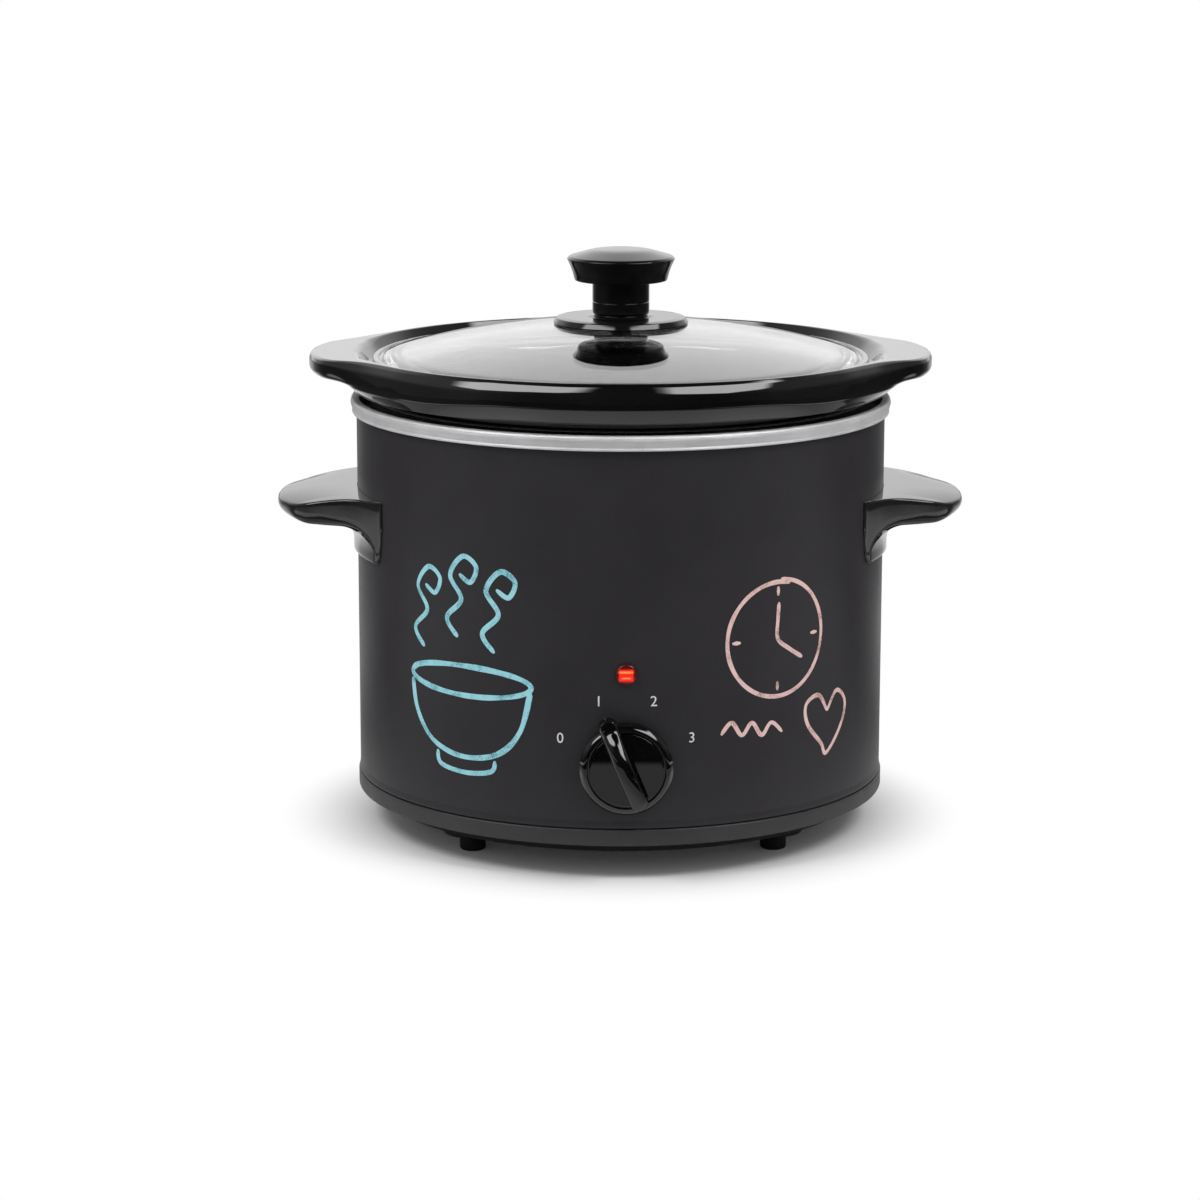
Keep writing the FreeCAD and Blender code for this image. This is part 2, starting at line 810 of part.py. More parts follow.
def dial():
    """Moulded dial: rounded skirt, ring groove, flat face and a full-width grip bar, bored for the spindle."""
    face = s.dial_depth - s.dial_round / 2
    groove = s.dial_groove_radius
    body = turned("dial", [
        (0, 0),
        (s.dial_radius - s.dial_edge, 0),
        (s.dial_radius, s.dial_edge),
        (s.dial_radius, s.dial_depth - s.dial_round, -(s.dial_round)),
        (s.dial_radius - s.dial_round, s.dial_depth),
        (groove + s.dial_groove_width, face),
        (groove + s.dial_groove_width, face - s.dial_groove_depth),
        (groove, face - s.dial_groove_depth),
        (groove, face),
        (0, face),
    ])
    half = s.bar_half_width
    end_round = arc_radius(half, s.bar_end)
    pad(body, "dial_bar", [
        (half, s.bar_end - s.bar_down),
        (half, s.bar_up - s.bar_end, -end_round),
        (-half, s.bar_up - s.bar_end),
        (-half, s.bar_end - s.bar_down, -end_round),
    ], face - s.dial_groove_depth, s.bar_height + s.dial_groove_depth)
    front = face + s.bar_height

    def is_bar_crest(edge):
        return all(abs(vertex.Z - front.number) < 0.01 for vertex in edge.Vertexes)

    fillet(body, "dial_bar_crest", s.bar_round, is_bar_crest)
    hollow = body.newObject("PartDesign::Groove", "dial_hollow")
    pocket = s.bushing_proud + s.loose_gap - s.dial_gap
    hollow.Profile = outline(body, "dial_hollow_section", [
        (0, -1),
        (s.dial_pocket_radius, -1),
        (s.dial_pocket_radius, pocket),
        (s.spindle_radius + s.running_gap, pocket),
        (s.spindle_radius + s.running_gap, s.dial_bore_depth),
        (0, s.dial_bore_depth),
    ])
    hollow.ReferenceAxis = (hollow.Profile[0], ["V_Axis"])
    hollow.Angle = 360
    put(body, 0, -(dial_back), dial_height)
    body.Placement = FreeCAD.Placement(body.Placement.Base, front_facing_turned(DIAL_REST_ANGLE))
    return body


def front_facing_turned(angle):
    """Own Z towards the front and own Y up, turned anticlockwise as seen from the front."""
    return FreeCAD.Rotation(RIGHT, 90).multiply(FreeCAD.Rotation(UP, angle))


def switch_spindle():
    """Steel spindle from the rotor through the bushing into the dial, with a flat at its front end."""
    start = switch_rear + s.switch_back_wall + s.loose_gap
    tip = dial_back + s.dial_bore_depth - s.loose_gap
    length = tip - start
    shaft = cylinder("spindle_shaft", s.spindle_radius, length)
    flat_length = s.dial_bore_depth - s.bushing_proud + s.dial_gap - s.loose_gap * 2
    flat = box(
        "spindle_flat_cut", s.spindle_radius * 2, s.spindle_radius, flat_length + 1,
        -(s.spindle_radius), s.spindle_flat, length - flat_length,
    )
    spindle = cut("switch_spindle", shaft, [flat])
    put(spindle, 0, -(start), dial_height)
    spindle.Placement = FreeCAD.Placement(spindle.Placement.Base, front_facing_turned(DIAL_REST_ANGLE))
    return spindle


def dial_spring():
    """Leaf spring in the dial's bore that presses on the spindle's flat."""
    length = s.dial_bore_depth - s.bushing_proud + s.dial_gap - s.loose_gap * 4
    tip = dial_back + s.dial_bore_depth - s.loose_gap
    leaf = box("dial_spring", s.spring_width, s.spring_wall, length, 0, 0, 0)
    put(leaf, 0, 0, 0)
    turn = front_facing_turned(DIAL_REST_ANGLE)
    corner = FreeCAD.Vector(s.spring_width.number / -2, s.spindle_flat.number + s.running_gap.number, 0)
    shift = turn.multVec(corner)
    leaf = put(leaf, shift.x, -(tip - length) + shift.y, dial_height + shift.z)
    leaf.Placement = FreeCAD.Placement(leaf.Placement.Base, turn)
    return leaf


def switch_rotor():
    """Moulded contact rotor on the spindle, inside the switch body."""
    back = switch_rear + s.switch_back_wall + s.loose_gap * 2
    return ring(
        "switch_rotor", s.rotor_radius, s.spindle_radius + s.running_gap, s.rotor_height,
        y=-(back), z=dial_height, facing=FRONT,
    )


def switch_body():
    """Moulded switch housing behind the drum, open at the back for its rotor."""
    half = s.switch_width / 2
    low = dial_height - s.switch_height / 2
    block = box(
        "switch_block", s.switch_width, s.switch_depth - s.switch_back_wall, s.switch_height,
        -(half), -(switch_face), low,
    )
    well = s.switch_depth - s.switch_back_wall - s.switch_front
    cavity = cylinder(
        "switch_cavity", s.rotor_radius + s.loose_gap, well, y=-(switch_face - s.switch_front - well),
        z=dial_height, facing=FRONT,
    )
    hole = cylinder(
        "switch_bushing_hole", s.bushing_radius + s.seat_gap, s.switch_depth, y=-(switch_rear),
        z=dial_height, facing=FRONT,
    )
    return cut("switch_body", block, [cavity, hole])


def switch_back():
    """Insulating back plate of the switch, which carries its terminals."""
    half = s.switch_width / 2
    low = dial_height - s.switch_height / 2
    return box(
        "switch_back", s.switch_width, s.switch_back_wall - s.seat_gap, s.switch_height,
        -(half), -(switch_rear + s.switch_back_wall - s.seat_gap), low,
    )


def switch_bushing():
    """Threaded brass bushing that runs the spindle and clamps the switch to the drum."""
    start = switch_face - s.switch_front
    length = s.drum_radius + s.bushing_proud - start
    return ring(
        "switch_bushing", s.bushing_radius, s.spindle_radius + s.running_gap, length,
        y=-(start), z=dial_height, facing=FRONT,
    )


def switch_nut():
    """Thin hexagon nut on the bushing, against the drum, hidden by the dial."""
    start = s.drum_radius + s.seat_gap
    nut = hexagon("switch_nut_blank", s.nut_flats, s.nut_height, y=-(start), z=dial_height, facing=FRONT)
    hole = cylinder(
        "switch_nut_hole", s.bushing_radius + s.seat_gap, s.nut_height + 2, y=-(start - 1),
        z=dial_height, facing=FRONT,
    )
    return cut("switch_nut", nut, [hole])


def terminal_places():
    """Centres of the switch's push-on tabs, as (across, height)."""
    half = s.terminal_pitch / 2
    return [
        (half * across, dial_height + half * up) for across in (-1, 1) for up in (-1, 1)
    ]


def switch_terminals():
    """Four tinned push-on tabs on the switch's back plate."""
    tabs = []
    for index, (across, height) in enumerate(terminal_places()):
        tabs.append(box(
            f"switch_tab_{index}", s.terminal_wall, s.terminal_length, s.terminal_width,
            across - s.terminal_wall / 2, -(switch_rear), height - s.terminal_width / 2,
        ))
    return group("switch_terminals", tabs)


def lamp_lens():
    """Domed red lens with a hollow barrel that pushes through the drum."""
    body = turned("lamp_lens", [
        (s.lens_body_radius, -(s.lens_length)),
        (s.lens_body_radius, s.seat_gap),
        (s.lens_radius, s.seat_gap),
        (s.lens_radius, s.lens_edge, -arc_radius(s.lens_radius, s.lens_dome - s.lens_edge)),
        (0, s.lens_dome),
        (0, s.lens_dome - s.lens_wall * 2),
        (s.lens_body_radius - s.lens_wall, s.lens_dome - s.lens_wall * 2),
        (s.lens_body_radius - s.lens_wall, -(s.lens_length)),
    ])
    return put(body, 0, -(s.drum_radius), lamp_height, FRONT)


def lamp_clip():
    """Push-on spring ring that holds the lens behind the drum."""
    front = shell_inside - sag(shell_inside, s.clip_radius) - s.seat_gap
    return ring(
        "lamp_clip", s.clip_radius, s.lens_body_radius + s.running_gap, s.clip_wall,
        y=-(front - s.clip_wall), z=lamp_height, facing=FRONT,
    )


def neon_bulb():
    """Small neon lamp that sits inside the lens barrel."""
    tip = s.drum_radius + s.lens_dome - s.lens_wall * 2 - s.loose_gap
    body = turned("neon_bulb", [
        (0, 0),
        (s.bulb_radius, 0),
        (s.bulb_radius, s.bulb_length - s.bulb_radius, -(s.bulb_radius)),
        (0, s.bulb_length),
    ])
    return put(body, 0, -(tip - s.bulb_length), lamp_height, FRONT)


def handle(name, facing_angle):
    """Moulded lug: an L section turned about the drum, trimmed to its plan and to its back plate's front view."""
    outer = s.drum_radius + s.handle_plate
    inner = s.drum_radius + s.seat_gap
    reach = s.drum_radius + s.handle_overhang
    past = reach + s.handle_end_inset
    low = handle_top - s.plate_height
    crown = arc_radius(past - inner, s.handle_droop)
    section = turned(f"{name}_section_body", [
        (inner, low - s.handle_plate),
        (outer, low - s.handle_plate),
        (outer, handle_under - s.handle_fillet, s.handle_fillet * 1),
        (outer + s.handle_fillet, handle_under),
        (past, handle_under),
        (past, handle_top - s.handle_droop, -crown),
        (inner, handle_top),
    ])
    section.Placement = FreeCAD.Placement(FreeCAD.Vector(), FreeCAD.Rotation(UP, 180))
    end = reach - s.handle_end_inset
    half = s.handle_end_half
    plan = prism(f"{name}_plan", [
        (s.drum_radius - s.handle_root_inset, -(s.handle_root_half)),
        (outer, -(s.handle_waist_half)),
        (end, -half, -arc_radius(half, s.handle_end_inset)),
        (end, half),
        (outer, s.handle_waist_half),
        (s.drum_radius - s.handle_root_inset, s.handle_root_half),
    ], low - s.handle_plate, s.plate_height * 2)

    def is_upright(at):
        def test(edge):
            ends = edge.Vertexes
            upright = abs(ends[0].X - ends[-1].X) + abs(ends[0].Y - ends[-1].Y) < 0.01
            return upright and abs(edge.CenterOfMass.x - at.number) < 0.01
        return test

    fillet(plan, f"{name}_plan_corners", s.handle_corner, is_upright(end))
    fillet(plan, f"{name}_plan_necks", s.handle_neck, is_upright(outer))
    foot_half = s.plate_foot_half
    foot_side = low + s.plate_foot_rise
    front = prism(f"{name}_front", [
        (-foot_half, foot_side, -arc_radius(foot_half, s.plate_foot_rise)),
        (foot_half, foot_side),
        (s.handle_root_half, handle_top + 1),
        (-(s.handle_root_half), handle_top + 1),
    ], s.drum_radius - s.handle_root_inset, past, "YZ_Plane")
    lug = doc.addObject("Part::MultiCommon", f"{name}_lug")
    lug.Shapes = [section, plan, front]
    doc.recompute()
    rounded = doc.addObject("Part::Fillet", f"{name}_rounded")
    rounded.Base = lug

    def rim_round(edge):
        """The rounding of an edge of the lug's top or underside, or none for any other edge."""
        first, last = edge.ParameterRange
        points = [edge.valueAt(first + (last - first) * share) for share in (0.0, 0.3, 0.7, 1.0)]
        radii = [math.hypot(point.x, point.y) for point in points]
        if max(radii) - min(radii) < 0.1:
            return None
        falls = [
            crown.number - math.sqrt(crown.number ** 2 - (radius - inner.number) ** 2) for radius in radii
        ]
        if all(abs(handle_top.number - fall - point.z) < 0.02 for point, fall in zip(points, falls)):
            return s.handle_ridge.number
        if all(abs(handle_under.number - point.z) < 0.02 for point in points):
            return s.handle_under_round.number
        return None

    roundings = [rim_round(edge) for edge in lug.Shape.Edges]
    rounded.Edges = [
        (index, size, size) for index, size in enumerate(roundings, start=1) if size is not None
    ]
    holes = [
        spoke(
            f"{name}_screw_hole_{index}", s.handle_screw_radius + s.seat_gap, s.drum_radius - 1,
            s.handle_screw_bite + 2, angle, handle_top - s.handle_screw_drop,
        )
        for index, angle in enumerate(handle_screw_angles(0))
    ]
    result = cut(name, rounded, holes)
    result.Placement = FreeCAD.Placement(FreeCAD.Vector(), FreeCAD.Rotation(UP, facing_angle))
    return result


def handle_fasteners():
    """The screws that hold both handles from inside the drum, and their washers."""
    screws = []
    washers = []
    height = handle_top - s.handle_screw_drop
    seat_at = shell_inside - sag(shell_inside, s.washer_radius) - s.seat_gap
    under_head = seat_at - s.washer_wall - s.seat_gap
    for facing_angle in (0, 180):
        for angle in handle_screw_angles(facing_angle):
            way = radial(angle)
            tag = f"{angle:.0f}".replace("-", "m")
            head = spoke(
                f"screw_head_{tag}", s.screw_head_radius, under_head - s.screw_head_height,
                s.screw_head_height, angle, height,
            )
            shank = spoke(
                f"screw_shank_{tag}", s.handle_screw_radius, under_head,
                s.drum_radius + s.handle_screw_bite - under_head, angle, height,
            )
            screws.append(fuse(f"handle_screw_{tag}", [head, shank]))
            start = seat_at - s.washer_wall
            washers.append(ring(
                f"handle_washer_{tag}", s.washer_radius, s.handle_screw_radius + s.seat_gap, s.washer_wall,
                start * way.x, start * way.y, height, way,
            ))
    return group("handle_screws", screws), group("handle_washers", washers)


def heater_band():
    """Mica heater in a steel band round the well, split at the back with a clamping tab each side."""
    bottom = lamp_height + s.band_over_lamp
    inner = liner_outside + s.seat_gap
    outer = inner + s.band_wall
    hoop = ring("heater_hoop", outer, inner, s.band_height, z=bottom)
    half = s.band_slot / 2
    slot = box("heater_slot", s.band_slot, s.liner_gap * 2, s.band_height + 2, -half, inner - s.liner_gap, bottom - 1)
    split = cut("heater_split", hoop, [slot])
    foot_at = inner + s.band_wall / 2 - sag(inner, half + s.band_tab_wall)
    tabs = []
    for name, start in (("right", half), ("left", -half - s.band_tab_wall)):
        tabs.append(box(
            f"heater_tab_{name}", s.band_tab_wall, s.band_tab, s.band_height, start, foot_at, bottom,
        ))
    blank = fuse("heater_band_blank", [split] + tabs)
    bolt = clamp_screw_place()
    hole = cylinder(
        "heater_tab_hole", s.clamp_screw_radius + s.seat_gap, s.band_slot * 3, s.band_slot * -1.5, *bolt, RIGHT
    )
    return cut("heater_band", blank, [hole])


def clamp_screw_place():
    """Where the clamping screw crosses the band's tabs, as (back, height)."""
    outer = liner_outside + s.seat_gap + s.band_wall
    return outer + s.band_tab / 2 - s.band_wall / 2, lamp_height + s.band_over_lamp + s.band_height / 2


def heater_clamp_screw():
    """Screw that draws the band's tabs together."""
    back, height = clamp_screw_place()
    head_at = s.band_slot / -2 - s.band_tab_wall - s.seat_gap - s.screw_head_height
    head = cylinder("clamp_head", s.screw_head_radius, s.screw_head_height, head_at, back, height, RIGHT)
    shank = cylinder(
        "clamp_shank", s.clamp_screw_radius, s.clamp_screw_length, head_at + s.screw_head_height, back, height, RIGHT
    )
    return fuse("heater_clamp_screw", [head, shank])


def heater_clamp_nut():
    """Nut of the clamping screw."""
    back, height = clamp_screw_place()
    start = s.band_slot / 2 + s.band_tab_wall + s.seat_gap
    blank = hexagon("clamp_nut_blank", s.clamp_nut_flats, s.clamp_nut_height, start, back, height, RIGHT)
    hole = cylinder(
        "clamp_nut_hole", s.clamp_screw_radius + s.seat_gap, s.clamp_nut_height + 2, start - 1, back, height, RIGHT
    )
    return cut("heater_clamp_nut", blank, [hole])


def fuse_height():
    return liner_bottom - s.seat_gap - s.fuse_clip_wall - s.fuse_radius - s.seat_gap


def thermal_fuse():
    """Over-temperature cut-out, a small metal can under the well."""
    return cylinder(
        "thermal_fuse", s.fuse_radius, s.fuse_length, s.fuse_offset - s.fuse_length / 2, 0, fuse_height(), RIGHT
    )


def fuse_clip():
    """Spring saddle that holds the cut-out against the underside of the well."""
    half = s.fuse_radius + s.fuse_clip_wall + s.seat_gap
    block = box(
        "fuse_clip_block", s.fuse_clip_width, half * 2, half * 2,
        s.fuse_offset - s.fuse_clip_width / 2, -half, liner_bottom - s.seat_gap - half * 2,
    )
    bore = cylinder(
        "fuse_clip_bore", s.fuse_radius + s.seat_gap, s.fuse_clip_width + 2,
        s.fuse_offset - s.fuse_clip_width / 2 - 1, 0, fuse_height(), RIGHT,
    )
    return cut("fuse_clip", block, [bore])


def centre_stud():
    """Threaded stud welded under the well, which draws the base up to it."""
    return cylinder("centre_stud", s.stud_radius, liner_bottom - s.stud_tail, z=s.stud_tail)


def stud_washer():
    """Wide washer under the base."""
    return ring(
        "stud_washer", s.stud_washer_radius, s.stud_radius + s.seat_gap, s.stud_washer_wall,
        z=s.pan_bottom - s.stud_washer_wall,
    )


def stud_nut():
    """Hexagon nut that holds the base on."""
    top = s.pan_bottom - s.stud_washer_wall
    blank = hexagon("stud_nut_blank", s.stud_nut_flats, s.stud_nut_height, z=top - s.stud_nut_height)
    hole = cylinder(
        "stud_nut_hole", s.stud_radius + s.seat_gap, s.stud_nut_height + 2, z=top - s.stud_nut_height - 1
    )
    return cut("stud_nut", blank, [hole])


def earth_tag():
    """Ring tag on the stud, against the underside of the well."""
    low = liner_bottom - s.seat_gap - s.tag_wall
    eye = cylinder("earth_tag_eye", s.tag_radius, s.tag_wall, z=low)
    tail = box("earth_tag_tail", s.tag_length, s.tag_radius, s.tag_wall, -(s.tag_length), s.tag_radius / -2, low)
    hole = cylinder("earth_tag_hole", s.stud_radius + s.seat_gap, s.tag_wall + 2, z=low - 1)
    return cut("earth_tag", fuse("earth_tag_blank", [eye, tail]), [hole])


def block_screw_places():
    return [s.block_screw_pitch * index for index in (-1, 0, 1)]


def terminal_block():
    """Connector block on the base, near the cord inlet, with three screw pockets."""
    block = box(
        "terminal_block_blank", s.block_length, s.block_width, s.block_height,
        s.block_length / -2, s.block_back - s.block_width / 2, pan_floor,
    )
    pockets = [
        cylinder(
            f"block_pocket_{index}", s.block_screw_radius + s.seat_gap, s.block_height, across, s.block_back,
            pan_floor + s.block_height / 2,
        )
        for index, across in enumerate(block_screw_places())
    ]
    return cut("terminal_block", block, pockets)


def terminal_screws():
    """Clamping screws of the connector block."""
    screws = [
        cylinder(
            f"block_screw_{index}", s.block_screw_radius, s.block_height / 3, across, s.block_back,
            pan_floor + s.block_height / 2,
        )
        for index, across in enumerate(block_screw_places())
    ]
    return group("terminal_screws", screws)


def cord_bush():
    """Snap-in bush that lines the cord inlet at the back of the drum."""
    outside = s.seat_gap
    inside = -(s.shell_wall) - sag(shell_inside, s.bush_radius) - s.seat_gap
    snap = (s.bush_radius + s.bush_body_radius) / 2
    body = turned("cord_bush", [
        (s.bush_bore_radius, inside - s.bush_grip),
        (s.bush_body_radius, inside - s.bush_grip),
        (snap, inside - s.bush_grip / 2),
        (snap, inside),
        (s.bush_body_radius, inside),
        (s.bush_body_radius, outside),
        (s.bush_radius, outside),
        (s.bush_radius, outside + s.bush_flange / 2),
        (s.bush_radius - s.bush_flange / 2, outside + s.bush_flange),
        (s.bush_bore_radius, outside + s.bush_flange),
    ])
    return put(body, 0, s.drum_radius, inlet_height, BACK)


def lead(name, points):
    """A sleeved wire along straight runs joined by tangent arcs as large as the runs allow."""
    knots = [FreeCAD.Vector(*[dim(value).number for value in point]) for point in points]
    edges = []
    start = knots[0]
    for before, corner, after in zip(knots, knots[1:], knots[2:]):
        into = (corner - before).normalize()
        out = (after - corner).normalize()
        trim = 0.45 * min(corner.distanceToPoint(before), corner.distanceToPoint(after))
        half_turn = into.getAngle(out) / 2
        entry = corner - into * trim
        leave = corner + out * trim
        bisector = (out - into).normalize()
        radius = trim / math.tan(half_turn)
        middle = corner + bisector * (radius / math.cos(half_turn) - radius)
        edges.append(Part.LineSegment(start, entry).toShape())
        edges.append(Part.Arc(entry, middle, leave).toShape())
        start = leave
    edges.append(Part.LineSegment(start, knots[-1]).toShape())
    path = Part.Wire(edges)
    rim = Part.Wire(Part.Circle(knots[0], (knots[1] - knots[0]).normalize(), s.lead_radius.number).toShape())
    wire = doc.addObject("Part::Feature", name)
    wire.Shape = path.makePipeShell([rim], True, False)
    return wire


def wiring():
    """Four leads between the connector block, the switch, the lamp, the cut-out and the heater band."""
    tabs = terminal_places()
    tab_end = -(switch_rear) + s.terminal_length + s.seat_gap
    block_front = s.block_back - s.block_width / 2 - s.seat_gap
    block_mid = pan_floor + s.block_height / 2
    slack = s.terminal_length * 3
    left, right = block_screw_places()[0], block_screw_places()[2]
    band_low = lamp_height + s.band_over_lamp - s.seat_gap
    band_edge = liner_outside + s.seat_gap + s.band_wall
    side_room = (shell_inside + liner_outside) / 2
    fuse_end = s.fuse_offset + s.fuse_length / 2 + s.seat_gap
    lamp_back = -(s.drum_radius) - s.lens_dome + s.lens_wall * 2 + s.loose_gap + s.bulb_length + s.seat_gap
    live = lead("live_lead", [
        (left, block_front, block_mid),
        (left, block_front - slack, block_mid),
        (tabs[0][0], tab_end + slack, tabs[0][1]),
        (tabs[0][0], tab_end, tabs[0][1]),
    ])
    heater = lead("heater_lead", [
        (tabs[3][0], tab_end, tabs[3][1]),
        (tabs[3][0], tab_end + slack / 2, tabs[3][1]),
        (side_room * 0.82, side_room * -0.57, tabs[3][1]),
        (side_room, dim(0), liner_bottom + s.liner_corner),
        (band_edge, s.band_tab, band_low - slack / 2),
        (band_edge, s.band_tab, band_low),
    ])
    neutral = lead("neutral_lead", [
        (right, block_front, block_mid),
        (right, block_front - slack / 2, block_mid),
        (fuse_end + slack, s.fuse_length, fuse_height()),
        (fuse_end + slack / 2, dim(0), fuse_height()),
        (fuse_end, dim(0), fuse_height()),
    ])
    lamp = lead("lamp_lead", [
        (dim(0), lamp_back, lamp_height),
        (dim(0), lamp_back + s.loose_gap * 6, lamp_height),
        (s.switch_width * -0.4, lamp_back + s.loose_gap * 5, lamp_height - s.lamp_rise / 3),
        (s.switch_width * -0.75, lamp_back + s.loose_gap * 8, dial_height + s.terminal_pitch),
        (s.switch_width * -0.6, tab_end + slack / 3, tabs[1][1]),
        (tabs[1][0], tab_end + slack / 3, tabs[1][1]),
        (tabs[1][0], tab_end, tabs[1][1]),
    ])
    return live, heater, neutral, lamp


for maker in (
    outer_shell, heating_liner, base_plate, crock, lid_glass, knob_collar, knob_seal, knob_grip, knob_screw,
    screw_washer, dial, switch_spindle, dial_spring, switch_rotor, switch_body, switch_back, switch_bushing,
    switch_nut, switch_terminals, lamp_lens, lamp_clip, neon_bulb, heater_band, heater_clamp_screw,
    heater_clamp_nut, thermal_fuse, fuse_clip, centre_stud, stud_washer, stud_nut, earth_tag, terminal_block,
    terminal_screws, cord_bush,
):
    node(maker.__name__, maker())
for place, angle in FOOT_ANGLES.items():
    node(f"foot_{place}", foot(f"foot_{place}", angle))
node("right_handle", handle("right_handle", 0))
node("left_handle", handle("left_handle", 180))
for label, fasteners in zip(("handle_screws", "handle_washers"), handle_fasteners()):
    node(label, fasteners)
for label, wire in zip(("live_lead", "heater_lead", "neutral_lead", "lamp_lead"), wiring()):
    node(label, wire)

doc.recompute()
for obj in doc.Objects:
    if "Invalid" in obj.State or "Error" in obj.State:
        raise RuntimeError(f"{obj.Label} failed: {obj.State}")
for label, obj in NODES.items():
    if obj.Shape.isNull() or not obj.Shape.isValid() or not obj.Shape.Solids:
        raise RuntimeError(f"{label} has no valid solid")

os.makedirs("parts", exist_ok=True)
for label, obj in NODES.items():
    obj.Shape.exportStep(f"parts/{label}.step")
    print(f"{label}: {len(obj.Shape.Solids)} solid(s), {obj.Shape.Volume:.0f} mm3")
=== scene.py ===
import math

import bmesh
import bpy
from mathutils import Matrix, Vector, noise


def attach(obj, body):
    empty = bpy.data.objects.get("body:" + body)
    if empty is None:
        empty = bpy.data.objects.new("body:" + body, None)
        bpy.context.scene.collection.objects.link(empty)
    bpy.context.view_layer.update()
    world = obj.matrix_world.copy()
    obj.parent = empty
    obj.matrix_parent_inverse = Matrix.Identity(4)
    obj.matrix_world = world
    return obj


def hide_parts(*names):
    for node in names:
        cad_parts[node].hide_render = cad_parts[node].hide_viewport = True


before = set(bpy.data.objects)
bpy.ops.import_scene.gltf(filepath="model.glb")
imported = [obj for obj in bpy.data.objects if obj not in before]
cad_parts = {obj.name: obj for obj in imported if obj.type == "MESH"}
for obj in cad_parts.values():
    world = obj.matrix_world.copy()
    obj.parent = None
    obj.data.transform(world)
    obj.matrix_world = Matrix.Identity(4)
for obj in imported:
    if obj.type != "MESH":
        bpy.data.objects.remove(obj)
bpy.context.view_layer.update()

# Base plate: a moulded plastic pan that closes the drum from below, drawn up by the stud in its middle.
# Its satin trim band shows under the drum's hem; underneath are bosses for the feet and eight vent slots.
TRIM_RADIUS, TRIM_BOTTOM, TRIM_TOP = 120.75, 15.4, 22.8
PAN_EDGE, PAN_BOTTOM, PAN_FLOOR = 110.6, 10.5, 13.0
PAN_SHADE_EDGE = 116.0
RIB_OUTER, RIB_INNER, RIB_TOP, LEDGE_TOP = 118.9, 116.5, 30.0, 17.9
STUD_HOLE = 2.65
FOOT_PLACE = 67.175
BOSS_RADIUS, BOSS_BOTTOM, BOSS_TOP = 13.0, 8.0, 11.6
STEM_HOLE = 3.15
VENT_COUNT = 8
VENT_HALF_WIDTH, VENT_START, VENT_END, VENT_ROUND = 2.0, 49.0, 75.0, 1.9
CUT_BOTTOM, CUT_TOP = 6.0, 15.0
CREASE = 35
base_section = [
    (STUD_HOLE, PAN_BOTTOM, 0.3), (PAN_EDGE, PAN_BOTTOM, 1.0), (113.0, TRIM_BOTTOM, 1.0),
    (TRIM_RADIUS, TRIM_BOTTOM, 1.0), (TRIM_RADIUS, TRIM_TOP, 0.55), (RIB_OUTER, TRIM_TOP, 0.2),
    (RIB_OUTER, RIB_TOP, 0.4), (RIB_INNER, RIB_TOP, 0.4), (RIB_INNER, LEDGE_TOP, 1.0),
    (111.6, LEDGE_TOP, 1.0), (109.2, PAN_FLOOR, 1.0), (STUD_HOLE, PAN_FLOOR, 0.3),
]


def rounded(corners, steps=6, closed=True):
    """A line through (across, up, radius) corners in millimetres, each corner turned into an arc."""
    line = []
    for index, (across, up, radius) in enumerate(corners):
        corner = Vector((across, up))
        if radius == 0 or (not closed and index in (0, len(corners) - 1)):
            line.append(corner)
            continue
        back = Vector(corners[index - 1][:2]) - corner
        on = Vector(corners[(index + 1) % len(corners)][:2]) - corner
        half = back.angle(on) / 2
        reach = min(radius / max(math.tan(half), 1e-6), 0.49 * back.length, 0.49 * on.length)
        reach = max(reach, 0.02)
        start = corner + back.normalized() * reach
        end = corner + on.normalized() * reach
        for step in range(steps + 1):
            share = step / steps
            weights = (1 - share) ** 2, 2 * share * (1 - share) * math.sin(half), share ** 2
            line.append((start * weights[0] + corner * weights[1] + end * weights[2]) / sum(weights))
    return line


def post(radius, bottom, top, edge=0):
    """The line of an upright cylinder whose lower edge is rounded."""
    return rounded([(0, bottom, 0), (radius, bottom, edge), (radius, top, 0), (0, top, 0)])


def spun(angle, axis="Z"):
    """A turn of this many degrees about an axis."""
    return Matrix.Rotation(math.radians(angle), 4, axis)


def skinned(rings, wrap=True, far_cap=True):
    """Vertices and faces of a closed skin over rings that all have the same number of points."""
    count = len(rings[0])
    vertices = [point for ring in rings for point in ring]
    faces = []
    for index in range(len(rings) if wrap else len(rings) - 1):
        near, far = index * count, (index + 1) % len(rings) * count
        for step in range(count):
            following = (step + 1) % count
            faces.append((near + step, far + step, far + following, near + following))
    if not wrap:
        faces.append(tuple(range(count)))
        if far_cap:
            faces.append(tuple(range(len(vertices) - count, len(vertices))))
    return vertices, faces


def turned(line, segments=192, place=None):
    """Vertices and faces of a closed line of (radius, height) points turned about the upright axis."""
    rings = []
    for segment in range(segments):
        angle = 2 * math.pi * segment / segments
        cos, sin = math.cos(angle), math.sin(angle)
        rings.append([Vector((point.x * cos, point.x * sin, point.y)) for point in line])
    vertices, faces = skinned(rings)
    if place:
        vertices = [place @ vertex for vertex in vertices]
    return vertices, faces


def mesh_of(name, shapes, crease=CREASE):
    """One mesh, in metres, of shapes given as vertices and faces in millimetres."""
    build = bmesh.new()
    for vertices, faces in shapes:
        corners = [build.verts.new(vertex / 1000) for vertex in vertices]
        for face in faces:
            build.faces.new([corners[index] for index in face])
    bmesh.ops.remove_doubles(build, verts=build.verts, dist=1e-6)
    bmesh.ops.dissolve_degenerate(build, edges=build.edges, dist=1e-7)
    bmesh.ops.recalc_face_normals(build, faces=build.faces)
    mesh = bpy.data.meshes.new(name)
    build.to_mesh(mesh)
    build.free()
    mesh.shade_smooth()
    mesh.set_sharp_from_angle(angle=math.radians(crease))
    return mesh


